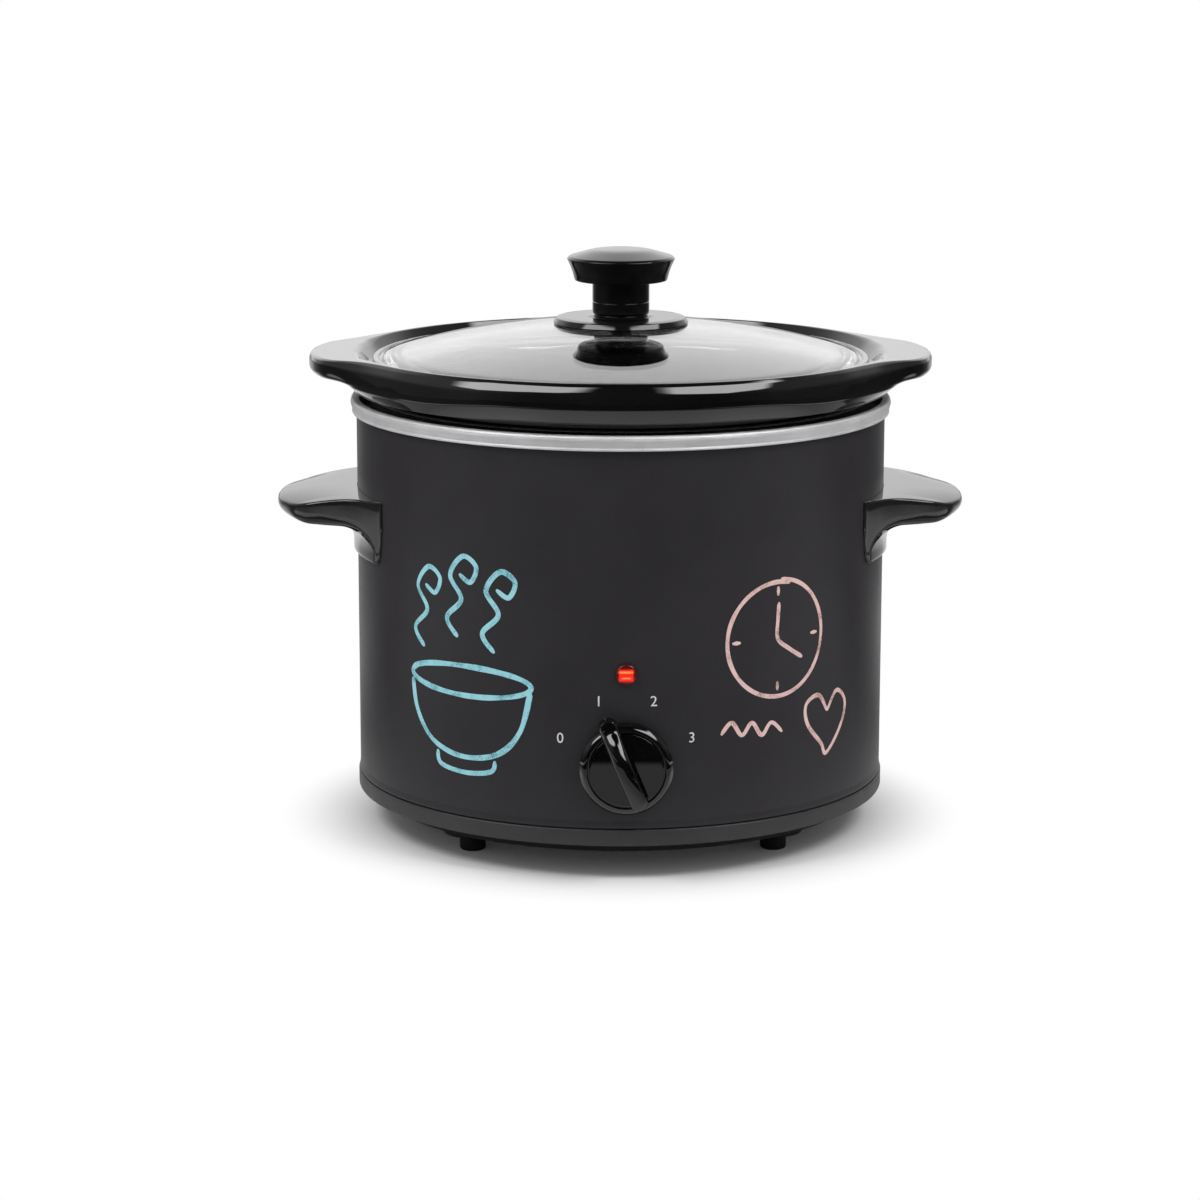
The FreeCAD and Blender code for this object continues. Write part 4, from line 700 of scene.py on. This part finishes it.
# Handles: gloss black mouldings, each an arched arm with a soft top ridge and a bevelled nose, on a thin back
# plate that hugs the drum and runs out sideways into a neck. Two screws and washers hold it from inside.
HANDLE_TOP, HANDLE_UNDER = 154.2, 141.8
HANDLE_SKIN, PLATE_SKIN = 120.15, 121.8
PLATE_CORNER, PLATE_END = 52.3, 55.6
ARM_CROWN, ARM_FILLET, ARM_LENGTH = 105.75, 11.0, 36
TOP_LIFT, NOSE_LIFT, NOSE_HALF = 0.6, 2.3, 33
NOSE_FROM, NOSE_RUN, NOSE_FULLER = 139, 14, 0.12
RIDGE_ROUND, TIP_ROUND, TIP_HALF = 1.1, 1.5, 26
UNDER_TUCK, NOSE_TUCK = 2.6, 3.6
BELLY_FROM, BELLY_TO, BELLY_RUN = 126, 158, 10
SIDE_RISE, NOSE_RISE, BELLY_RISE = 3.0, 2.2, 1.6
arm_plan = [
    (156.28, 0.0), (155.5, 10.0), (153.1, 20.0), (149.7, 28.6), (146.2, 33.6), (142.0, 37.0), (138.0, 38.9),
    (134.0, 40.2), (130.0, 41.3), (126.0, 42.4), (122.0, 44.0), (117.0, 47.0), (113.2, 50.0),
    (110.3, 52.3), (108.2, 54.1), (107.0, PLATE_END),
]


def eased(value):
    """0 to 1 with a soft start and end."""
    value = min(max(value, 0), 1)
    return value * value * (3 - 2 * value)


def crown(place):
    """Height of the arm's top: arched outwards from the drum, and fuller along its middle to the nose."""
    run = place.length - HANDLE_SKIN
    arch = HANDLE_TOP - ARM_CROWN + math.sqrt(ARM_CROWN ** 2 - run ** 2)
    return arch + TOP_LIFT + NOSE_LIFT * max(1 - (place.y / NOSE_HALF) ** 2, 0) * (run / ARM_LENGTH) ** 2


def cove(radius):
    """Height of the arm's underside, which sweeps down into the back plate."""
    run = max(ARM_FILLET - (radius - PLATE_SKIN), 0)
    return HANDLE_UNDER - ARM_FILLET + math.sqrt(max(ARM_FILLET ** 2 - run ** 2, 0))


def plate_bottom(across):
    """Height of the back plate's lower edge at this distance from the handle's middle."""
    corners = ((0, 126.2), (PLATE_CORNER, 126.6), (54.0, 129.5), (55.4, 135.0), (PLATE_END, 141.0))
    for (start, low), (end, high) in zip(corners, corners[1:]):
        if across <= end:
            return low + (high - low) * (across - start) / (end - start)
    return corners[-1][1]


def handle_section(edge, out):
    """Points from the drum over the arm's top, round its edge here and back to the plate's lower edge."""
    along = edge.normalized()
    reach = edge.length
    room = max(reach - HANDLE_SKIN, 0.05) / max(along.dot(out), 0.2)
    nose = eased((edge.x - NOSE_FROM) / NOSE_RUN)
    tip = nose * max(1 - (edge.y / TIP_HALF) ** 2, 0)
    ridge = min(RIDGE_ROUND + TIP_ROUND * tip, 0.5 * room)
    tuck = min(UNDER_TUCK + NOSE_TUCK * nose, 0.35 * room)
    fullness = 1 + NOSE_FULLER * nose
    points = []

    def add(place, level):
        """Adds the next point of the section."""
        points.append(Vector((place.x, place.y, level)))

    inner = edge - out * ridge
    for step in range(10):
        place = inner.normalized() * (HANDLE_SKIN + (inner.length - HANDLE_SKIN) * step / 9)
        add(place, crown(place))
    for step in range(1, 8):
        turn = math.radians(90 * step / 7)
        place = edge - out * (ridge * (1 - math.sin(turn)))
        add(place, crown(place) - ridge * (1 - math.cos(turn)))
    low = plate_bottom(abs(PLATE_SKIN * along.y))
    side_top = points[-1].z
    under = max(cove(reach), low + 0.5)
    belly = eased((edge.x - BELLY_FROM) / BELLY_RUN) * eased((BELLY_TO - edge.x) / BELLY_RUN)
    side_foot = min(under + SIDE_RISE + NOSE_RISE * nose + BELLY_RISE * belly, side_top - 0.2)
    for step in range(1, 6):
        add(edge, side_top + (side_foot - side_top) * step / 5)
    for step in range(1, 9):
        turn = math.radians(90 * step / 8)
        inset = tuck * (1 - max(math.cos(turn), 0) ** fullness)
        add(edge - out * inset, side_foot - (side_foot - under) * math.sin(turn) ** fullness)
    tucked = (edge - out * tuck).length
    plate_edge = min(PLATE_SKIN, tucked)
    for step in range(1, 15):
        radius = tucked + (plate_edge - tucked) * (1 - (1 - step / 14) ** 1.7)
        add(along * radius, max(min(cove(radius), under), low + 0.5))
    plate_top = points[-1].z
    for step in range(1, 5):
        add(along * plate_edge, plate_top + (low + 0.4 - plate_top) * step / 4)
    add(along * (plate_edge - 0.25 * min(1, room)), low + 0.08)
    add(along * HANDLE_SKIN, low)
    return points


half_edge = smooth_path(arm_plan, 0.6)
handle_edge = [Vector((point.x, -point.y)) for point in reversed(half_edge[1:])] + half_edge
handle_rings = []
for index, edge in enumerate(handle_edge):
    way = handle_edge[min(index + 1, len(handle_edge) - 1)] - handle_edge[max(index - 1, 0)]
    handle_rings.append(handle_section(edge, Vector((way.y, -way.x)).normalized()))
handle_plastic = grained(
    "gloss_handle_plastic", (0.013, 0.0125, 0.013), (0.010, 0.0095, 0.010), 40, 220, 0.06, 0.10, 0.000004,
    {"IOR": 1.5, "Coat Weight": 0.5, "Coat Roughness": 0.04},
)
for side_name, side_angle in (("right", RIGHT), ("left", LEFT)):
    vertices, faces = skinned(handle_rings, wrap=False)
    fitted(
        f"{side_name}_handle_lug", [([spun(side_angle) @ vertex for vertex in vertices], faces)],
        "base", "handle_plastic", f"{side_name}_handle", finish=handle_plastic, crease=50,
    )
dressed(zinc, "handle_screws", "handle_washers")

# Dial: a gloss black moulding on the switch's spindle. A rounded skirt with a ring groove carries a full-width
# grip bar, whose crest falls to a flat nose that overhangs the skirt as the pointer.
DIAL_BACK = 121.2
DIAL_TURN = 22.5
SKIRT_RADIUS, DIAL_FACE, GROOVE_FLOOR = 20.25, 7.1, 5.6
SPINDLE_BORE, POCKET_RADIUS, POCKET_DEPTH = 3.05, 9.0, 2.7
BAR_FACE, BAR_FRONT = 6.6, 18.1
BAR_HALF, BAR_UP, BAR_DOWN = 4.4, 25.0, 17.8
FALL_START, NOSE_START, FALL_RATE, DROOP = 4.0, 19.3, 0.0295, 150
CREST_ROUND, FALL_SHARPER, NOSE_FLATTER = 7.5, 3.5, 8.0
dial_place = Matrix.Translation((0, -DIAL_BACK, DIAL_HEIGHT)) @ spun(90, "X") @ spun(DIAL_TURN)
dial_section = [
    (SPINDLE_BORE, POCKET_DEPTH, 0.2), (POCKET_RADIUS, POCKET_DEPTH, 0.2), (POCKET_RADIUS, 0.0, 0.3),
    (18.85, 0.0, 0.3), (SKIRT_RADIUS, 1.4, 0.8), (SKIRT_RADIUS, 4.7, 1.0), (18.8, 6.65, 6.0),
    (16.95, 7.3, 0.25), (16.8, GROOVE_FLOOR, 0.1), (16.05, GROOVE_FLOOR, 0.1), (16.05, DIAL_FACE, 0.2),
    (15.2, DIAL_FACE, 0), (3.6, DIAL_FACE, 0), (SPINDLE_BORE, DIAL_FACE, 0.15),
]


def bar_outline(inset, points=20, sides=30):
    """The grip bar's plan, a long tongue with round ends, pulled in by an inset."""
    half = BAR_HALF - inset
    top, bottom = BAR_UP - BAR_HALF, BAR_HALF - BAR_DOWN
    outline = []
    for centre, beyond, start in ((top, bottom, 0), (bottom, top, 180)):
        for step in range(points + 1):
            turn = math.radians(start + 180 * step / points)
            outline.append((half * math.cos(turn), centre + half * math.sin(turn)))
        side = outline[-1][0]
        for step in range(1, sides):
            outline.append((side, centre + (beyond - centre) * step / sides))
    return outline


def bar_top(inset, round_radius):
    """Height of the bar's rounded crest at this distance in from its edge."""
    return BAR_FRONT - round_radius + math.sqrt(round_radius ** 2 - (BAR_HALF - inset) ** 2)


def bar_drop(along):
    """How far the crest has fallen: a droop below the middle, an ever steeper fall to the nose above it."""
    return FALL_RATE * max(min(along, NOSE_START) - FALL_START, 0) ** 2 + max(-along, 0) ** 2 / DROOP


def bar_height(inset, wall, along):
    """Height of the bar's skin: up its steep wall, then over a crest that is sharper on the fall."""
    sharper = FALL_SHARPER * eased((along - 1) / 8)
    flatter = NOSE_FLATTER * eased((along - NOSE_START + 1.2) / 1.6)
    round_radius = CREST_ROUND - sharper + flatter
    drop = bar_drop(along)
    if wall is not None:
        return BAR_FACE + wall * (bar_top(1.1, round_radius) - 0.5 - drop - BAR_FACE)
    return bar_top(inset, round_radius) - drop


bar_steps = [
    (0.0, 0.0), (0.06, 0.14), (0.2, 0.39), (0.38, 0.64), (0.52, 0.82), (0.62, 0.9), (0.74, 0.96), (0.9, 1.0),
]
bar_steps += [(inset, None) for inset in (1.2, 1.5, 1.9, 2.4, 2.9, 3.4, 3.8, 4.15, BAR_HALF)]
bar_rings = []
for inset, wall in bar_steps:
    bar_rings.append([
        dial_place @ Vector((x, y, bar_height(inset, wall, y))) for x, y in bar_outline(inset)
    ])
dial_shapes = [
    turned(rounded(dial_section), 192, dial_place), skinned(bar_rings, wrap=False, far_cap=False),
]
fitted("grip_dial", dial_shapes, "dial", "dial_plastic", "dial", crease=40, finish=grained(
    "gloss_dial_plastic", (0.0026, 0.0026, 0.003), (0.0016, 0.0016, 0.002), 60, 260, 0.012, 0.025, 0.000001,
    {"IOR": 1.5, "Coat Weight": 1.0, "Coat Roughness": 0.01},
))

# Crock: thrown stoneware in thick gloss black glaze, with a stepped seat for the lid and two lifting ears
# drawn out of the flange. It hangs on a step of its flange; the glaze runs slightly uneven round the rim.
EAR_REACH, EAR_HALF, EAR_BULGE, EAR_RUN = 141.4, 34.0, 7.2, 13
FLANGE_RADIUS, FLANGE_BOTTOM, CREST = 125.0, 199.3, 216.4
HANG_LEVEL, HANG_RADIUS = 195.5, 112.0
CROCK_UNDER, CROCK_FOOT, CROCK_FLOOR, SEAT_LEVEL = 74.0, 73.0, 80.5, 208.2
RIM_TILT = 0.95
FLANGE_UNEVEN, GLAZE_RUN, GLAZE_FROM = 0.25, 0.12, 117
CROCK_SEGMENTS = 480
ear_arc = (EAR_HALF ** 2 + EAR_BULGE ** 2) / (2 * EAR_BULGE)
ear_root, ear_corner = Vector((104.0, 62.0)), Vector((134.2, 34.0))


def gently_less(first, second, blend):
    """The smaller of two lengths, with the change from one to the other rounded off."""
    share = max(blend - abs(first - second), 0) / blend
    return min(first, second) - share * share * blend / 4


def to_line(angle, start, end):
    """Distance from the axis, at this angle, to the line through two points of the plan."""
    ray = Vector((math.cos(angle), math.sin(angle)))
    run = end - start
    return (start.x * run.y - start.y * run.x) / (ray.x * run.y - ray.y * run.x)


def to_bulge(angle, reach, radius):
    """Distance from the axis, at this angle, to an end arc that bulges out to a reach along X."""
    middle = reach - radius
    return middle * math.cos(angle) + math.sqrt(radius ** 2 - (middle * math.sin(angle)) ** 2)


def flange_reach(angle):
    """Distance from the axis to the flange's or an ear's edge at this angle."""
    angle = abs(math.remainder(angle, math.pi))
    reach = 0.0
    if angle < math.radians(45):
        side = to_line(angle, ear_root, ear_corner)
        reach = gently_less(side, to_bulge(angle, EAR_REACH, ear_arc), 3.0)
    return -gently_less(-reach, -FLANGE_RADIUS, 9.0) if reach else FLANGE_RADIUS


def blended_to(start, end, share):
    """The value a share of the way from a start to an end."""
    return start + (end - start) * share


crock_rings = []
for segment in range(CROCK_SEGMENTS):
    angle = 2 * math.pi * segment / CROCK_SEGMENTS
    cos, sin = math.cos(angle), math.sin(angle)
    reach = flange_reach(angle)
    ear = eased((reach - FLANGE_RADIUS) / EAR_RUN)
    uneven = noise.noise(Vector((cos * 2.2, sin * 2.2, 0.4))) * FLANGE_UNEVEN
    crest = CREST - RIM_TILT * sin
    edge = min(reach - FLANGE_UNEVEN + uneven, FLANGE_RADIUS if not ear else EAR_REACH)
    side = eased((abs(cos) - 0.42) / 0.32)
    belly_top = 206.4 - 2.2 * side
    section = [
        (0, CROCK_UNDER, 0), (81.3, CROCK_UNDER, 0.4), (82.3, CROCK_FOOT, 0.4), (99.3, CROCK_FOOT, 12.0),
        (102.3, HANG_LEVEL, 1.2), (HANG_RADIUS, HANG_LEVEL, 0.8), (HANG_RADIUS, FLANGE_BOTTOM, 1.0),
        (120.4 + 1.3 * side, FLANGE_BOTTOM, 0.6),
        (blended_to(edge - 0.03, 125.3, ear), blended_to(belly_top, 205.6, ear), 1.6 + 1.4 * ear),
        (edge, blended_to(belly_top + 2.5, 206.9, ear), 2.0 + 2.0 * ear),
        (edge - 0.7 * (1 - ear), crest - 4.4 + 1.0 * ear, 7.0 - 4.8 * ear),
        (edge - 2.25 + 1.45 * ear, crest - 1.4 - 0.1 * ear, 3.0 - 1.6 * ear),
        (edge - 3.4 + 1.2 * ear, crest - 0.9 * ear, 0.9 + 0.6 * ear),
        (119.9, crest - 0.7 * ear, 0.9 + 3.6 * ear), (115.6, SEAT_LEVEL, 1.6), (95.8, SEAT_LEVEL, 4.0),
        (92.8, CROCK_FLOOR, 12.0), (0, CROCK_FLOOR, 0),
    ]
    ring = []
    for point in rounded(section):
        run = 0
        if point.y > FLANGE_BOTTOM:
            run = GLAZE_RUN * noise.noise(Vector((cos * 9, sin * 9, point.y * 0.08)))
        radius = point.x - GLAZE_RUN + run if point.x > GLAZE_FROM else point.x
        ring.append(Vector((radius * cos, radius * sin, point.y)))
    crock_rings.append(ring)
fitted("glazed_crock", [skinned(crock_rings)], "crock", "crock_glaze", "crock", crease=60, finish=grained(
    "black_crock_glaze", (0.0045, 0.004, 0.004), (0.003, 0.0028, 0.0028), 22, 90, 0.03, 0.05, 0.00006,
    {"IOR": 1.52, "Coat Weight": 1.0, "Coat Roughness": 0.02},
))

# Lid: a pressed dome of clear toughened glass with a thick bead round its edge and a groove inside that.
# It rests on the crock's stepped seat, and is bored in the middle for the knob's screw.
DOME_SPAN, DOME_RISE = 111.8, 15.8
LID_TOP, LID_WALL, LID_BORE = 228.5, 4.0, 4.0
INNER_EDGE, OUTER_EDGE, LID_SOLE = 102.2, 106.2, 208.5
dome_radius = (DOME_SPAN ** 2 + DOME_RISE ** 2) / (2 * DOME_RISE)


def dome(radius, drop=0.0):
    """Height of the dome at this distance from the axis, or of a skin that lies a drop below it."""
    size = dome_radius - drop
    return LID_TOP - drop - size + math.sqrt(size ** 2 - radius ** 2)


def dome_line(start, end, steps, drop=0.0):
    """Points along that skin from one distance off the axis to another."""
    radii = [start + (end - start) * step / steps for step in range(steps + 1)]
    return [Vector((radius, dome(radius, drop))) for radius in radii]


lid_edge = rounded([
    (INNER_EDGE, dome(INNER_EDGE, LID_WALL), 0), (104.5, LID_SOLE, 1.2), (111.4, LID_SOLE, 1.6),
    (112.7, 210.3, 1.6), (112.5, 213.3, 1.3), (109.9, 213.6, 1.3), (108.9, 211.2, 0.6), (107.7, 213.3, 0.7),
    (OUTER_EDGE, dome(OUTER_EDGE), 0),
], closed=False)
lid_line = dome_line(LID_BORE, INNER_EDGE, 24, LID_WALL) + lid_edge[1:]
lid_line += dome_line(OUTER_EDGE, LID_BORE, 32)[1:]
lid_glass, lid_tree, lid_shader = blank("clear_lid_glass")
wired(lid_tree, lid_shader, {
    "Base Color": (0.97, 0.985, 0.98, 1), "Transmission Weight": 1.0, "IOR": 1.5, "Coat Weight": 1.0,
    "Roughness": ranged(lid_tree, clouded(lid_tree, 35, 4.0), 0.4, 0.8, 0.0, 0.03),
    "Normal": bumped(lid_tree, clouded(lid_tree, 16), 0.00015),
})
fitted("domed_lid", [turned(lid_line, 256)], "lid", "lid_glass", "lid_glass", crease=50, finish=lid_glass)

# Knob: a gloss black moulding with a grooved stem and a flared cap, on a disc that spreads its load on the
# glass, drawn down by a screw with a washer inside and a silicone seal outside.
KNOB_BORE, STEM_SIDE, KNOB_TOP = 2.55, 12.9, 261.95
collar_section = [
    (KNOB_BORE, 229.6, 0.1), (27.3, 229.6, 0.3), (28.4, 227.64, 0.3), (30.6, 227.64, 0.3), (30.5, 228.2, 0.4),
    (29.2, 230.4, 0.7), (26.0, 230.8, 3.0), (15.5, 231.0, 1.5), (13.2, 231.6, 0.4), (12.2, 231.5, 0.15),
    (12.2, 232.0, 0.1), (KNOB_BORE, 232.0, 0.1),
]
knob_section = [
    (KNOB_BORE, 232.15, 0.1), (12.5, 232.15, 0.15), (STEM_SIDE, 232.65, 0.3), (STEM_SIDE, 237.35, 0.2),
    (12.6, 237.65, 0.15), (STEM_SIDE, 237.95, 0.2), (STEM_SIDE, 247.15, 0.8), (20.9, 247.15, 0.7),
    (22.2, 252.2, 40.0), (24.4, 257.0, 0.4), (23.4, 258.1, 1.6), (13.0, 261.1, 30.0), (0, KNOB_TOP, 0),
    (0, 249.45, 0), (KNOB_BORE, 249.45, 0.2),
]
knob_plastic = grained(
    "gloss_knob_plastic", (0.006, 0.006, 0.0065), (0.0045, 0.0045, 0.005), 60, 240, 0.05, 0.08, 0.000002,
    {"IOR": 1.5, "Coat Weight": 0.5, "Coat Roughness": 0.04},
)
for name, section, node in (
    ("knob_disc", collar_section, "knob_collar"), ("lid_knob", knob_section, "knob_grip"),
):
    fitted(name, [turned(rounded(section))], "lid", "knob_plastic", node, finish=knob_plastic)
dressed(grained(
    "soft_seal_silicone", (0.60, 0.60, 0.58), (0.52, 0.52, 0.50), 150, 1800, 0.5, 0.65, 0.00003
), "knob_seal")
dressed(zinc, "knob_screw", "screw_washer")

# Studio: a pale floor that keeps the shadow, a white surround, two soft lamps and two bright front panels.
# Shiny pieces see the near floor and the surround behind as white, and the room in front as dark.
FLOOR_HALF = 30
SHADOW_INNER, SHADOW_OUTER = 0.108, 0.16
NEAR_INNER, NEAR_OUTER = 0.336, 0.346
PANEL_STRENGTH, PLAIN_STRENGTH = 4.4, 0.62
LAMP_WATTS, LAMP_SIZE, LAMP_AIM = 7.5, 0.5, Vector((0, 0, 0.1))
WHITE = (1, 1, 1, 1)
scene = bpy.context.scene
scene.view_settings.view_transform = "Standard"
floor_mesh = bpy.data.meshes.new("studio_floor")
floor_mesh.from_pydata([
    (x * FLOOR_HALF, y * FLOOR_HALF, 0) for x, y in ((-1, -1), (1, -1), (1, 1), (-1, 1))
], [], [(0, 1, 2, 3)])
floor = linked("studio_floor", floor_mesh)
floor_paint, floor_tree, _ = blank("pale_floor")
floor_tree.nodes.clear()
floor_place = placed(floor_tree, "ShaderNodeNewGeometry").outputs["Position"]
floor_axes = axes_of(floor_tree, floor_place)
floor_away = placed(floor_tree, "ShaderNodeVectorMath", {0: floor_place}, operation="LENGTH").outputs["Value"]
floor_path = placed(floor_tree, "ShaderNodeLightPath").outputs
floor_tone = blended(floor_tree, clouded(floor_tree, 3.0), (0.80, 0.80, 0.80, 1), (0.82, 0.82, 0.82, 1))


def shader_of(tree, kind, inputs):
    """The output of a shader node with these inputs."""
    return placed(tree, f"ShaderNode{kind}", inputs).outputs[0]


def shining(tree, kind, strength):
    """A white light of this strength."""
    return shader_of(tree, kind, {"Color": WHITE, "Strength": strength})


def mixed(tree, share, first, second):
    """A mix of two shaders."""
    return shader_of(tree, "MixShader", {0: share, 1: first, 2: second})


floor_matt = shader_of(floor_tree, "BsdfDiffuse", {"Color": floor_tone})
floor_pale = shader_of(floor_tree, "BsdfDiffuse", {"Color": (0.80, 0.79, 0.80, 1)})
floor_lift = shining(floor_tree, "Emission", 0.012)
floor_white = shining(floor_tree, "Emission", 1.0)
floor_dark = shining(floor_tree, "Emission", 0.005)
floor_shaded = shader_of(floor_tree, "AddShader", {0: floor_pale, 1: floor_lift})
shadow_ends = ranged(floor_tree, floor_away, SHADOW_INNER, SHADOW_OUTER, 0.0, 1.0, soft=True)
floor_seen = mixed(floor_tree, shadow_ends, floor_shaded, floor_white)


def facing(tree, across, back):
    """The bearing of a place or direction in radians, 0 in front and positive to the right."""
    return reckoned(tree, "ARCTAN2", across, reckoned(tree, "MULTIPLY", back, -1.0))


def room_level(tree, across, back, side_share, rear_share):
    """How bright the room is by bearing: dark in front, shares of grey at the sides and rear, white behind."""
    away = reckoned(tree, "ABSOLUTE", facing(tree, across, back))
    sides = ranged(tree, away, math.radians(35), math.radians(80), 0.02, 0.15, soft=True)
    sides = reckoned(tree, "MULTIPLY", sides, ranged(tree, across, -0.2, 0.2, 1.7, 1.0))
    rear = ranged(tree, away, math.radians(108), math.radians(142), 0.0, 0.6, soft=True)
    behind = ranged(tree, away, math.radians(140), math.radians(156), 0.0, 0.6, soft=True)
    level = reckoned(tree, "MULTIPLY_ADD", sides, side_share, behind)
    return reckoned(tree, "MULTIPLY_ADD", rear, rear_share, level, clamp=True)


near_edge = ranged(floor_tree, floor_away, NEAR_OUTER, NEAR_INNER, 0.0, 1.0)
off_centre = reckoned(floor_tree, "ABSOLUTE", floor_axes[0])
nearest_level = ranged(floor_tree, off_centre, 0.08, 0.16, 0.74, 1.0)
near_level = ranged(floor_tree, floor_away, 0.26, 0.17, 0.36, nearest_level)
near_floor = reckoned(floor_tree, "MULTIPLY", near_edge, near_level)
beside = ranged(floor_tree, off_centre, 0.40, 0.48, 0.0, 1.0)
front_half = reckoned(
    floor_tree, "MULTIPLY", strip(floor_tree, floor_away, 0.48, 0.46, 0.05),
    strip(floor_tree, floor_axes[1], -0.55, 0.65, 0.05),
)
beside_front = reckoned(floor_tree, "MULTIPLY", beside, front_half)
rear_floor = ranged(floor_tree, floor_away, 0.55, 1.0, 1.2, 0.15)
far_floor = room_level(floor_tree, floor_axes[0], floor_axes[1], 0.3, rear_floor)
floor_level = reckoned(floor_tree, "MAXIMUM", near_floor, far_floor)
floor_level = reckoned(floor_tree, "MAXIMUM", floor_level, beside_front)
floor_shine = mixed(floor_tree, floor_level, floor_dark, floor_shaded)
floor_mix = mixed(floor_tree, floor_path["Is Glossy Ray"], floor_matt, floor_shine)
floor_mix = mixed(floor_tree, floor_path["Is Camera Ray"], floor_mix, floor_seen)
placed(floor_tree, "ShaderNodeOutputMaterial", {"Surface": floor_mix})
floor.data.materials.append(floor_paint)

world = bpy.data.worlds.new("white_surround")
scene.world = world
world.use_nodes = True
sky_tree = world.node_tree
sky_tree.nodes.clear()
sky_axes = axes_of(sky_tree, placed(sky_tree, "ShaderNodeTexCoord").outputs["Generated"])
sky_path = placed(sky_tree, "ShaderNodeLightPath").outputs
low_down = ranged(sky_tree, sky_axes[2], 0.88, 0.60, 0.25, 1.0, soft=True)
side_sky = ranged(sky_tree, sky_axes[2], 0.02, 0.35, 0.35, 1.0, soft=True)
rear_sky = ranged(sky_tree, sky_axes[2], 0.05, 0.4, 0.25, 1.0, soft=True)
surround = room_level(sky_tree, sky_axes[0], sky_axes[1], side_sky, rear_sky)
surround = reckoned(sky_tree, "MULTIPLY", surround, low_down)
sideways = facing(sky_tree, sky_axes[0], sky_axes[1])


def panel(middle, half, thick):
    """A bright panel about a bearing in degrees, whose lower edge rises away from where it is thickest."""
    width = strip(sky_tree, sideways, math.radians(middle), math.radians(half), math.radians(5))
    away = reckoned(sky_tree, "ABSOLUTE", reckoned(sky_tree, "SUBTRACT", sideways, math.radians(thick)))
    lower = reckoned(sky_tree, "MULTIPLY_ADD", away, -0.38, sky_axes[2])
    above = ranged(sky_tree, lower, 0.37, 0.45, 0.0, 1.0, soft=True)
    below = ranged(sky_tree, sky_axes[2], 0.84, 0.78, 0.0, 1.0, soft=True)
    return reckoned(sky_tree, "MULTIPLY", width, reckoned(sky_tree, "MULTIPLY", above, below))


panels = reckoned(sky_tree, "MAXIMUM", panel(-49, 33, -66), panel(59, 38, 44))
first_bounce = reckoned(sky_tree, "LESS_THAN", sky_path["Glossy Depth"], 1.5)
panels = reckoned(sky_tree, "MULTIPLY", panels, first_bounce)
shine = reckoned(sky_tree, "MULTIPLY_ADD", panels, PANEL_STRENGTH, surround)
sees_shine = reckoned(sky_tree, "MAXIMUM", sky_path["Is Glossy Ray"], sky_path["Is Transmission Ray"])
plain_light = shining(sky_tree, "Background", PLAIN_STRENGTH)
white_shine = shining(sky_tree, "Background", shine)
white_seen = shining(sky_tree, "Background", 1.0)
sky_mix = mixed(sky_tree, sees_shine, plain_light, white_shine)
sky_mix = mixed(sky_tree, sky_path["Is Camera Ray"], sky_mix, white_seen)
placed(sky_tree, "ShaderNodeOutputWorld", {"Surface": sky_mix})

for name, place in (("left_soft_box", (-0.85, -0.55, 1.25)), ("right_soft_box", (0.85, -0.55, 1.25))):
    light = bpy.data.lights.new(name, "AREA")
    light.shape = "SQUARE"
    light.size = LAMP_SIZE
    light.energy = LAMP_WATTS
    lamp = linked(name, light)
    lamp.location = place
    lamp.rotation_euler = (LAMP_AIM - Vector(place)).to_track_quat("-Z", "Y").to_euler()
    lamp.visible_glossy = False

# Camera: a long lens a little above the lid, slightly left of the dial, as in the photograph.
# The shift places the object in the frame as the photograph does.
PHOTO_WIDTH = 1200
camera_data = bpy.data.cameras.new("photo_camera")
camera_data.sensor_width = 36.0
camera_data.lens = 108.05
camera_data.shift_x = -20.2 / PHOTO_WIDTH
camera_data.clip_end = 100
camera = linked("photo_camera", camera_data)
around, down, roll = math.radians(-1.3), math.radians(11.7515), math.radians(0.135)
distance, height = 1.62369, 0.4371
camera.matrix_world = (
    Matrix.Translation((distance * math.sin(around), -distance * math.cos(around), height))
    @ Matrix.Rotation(around, 4, "Z") @ Matrix.Rotation(math.radians(90) - down, 4, "X")
    @ Matrix.Rotation(roll, 4, "Z")
)
scene.camera = camera
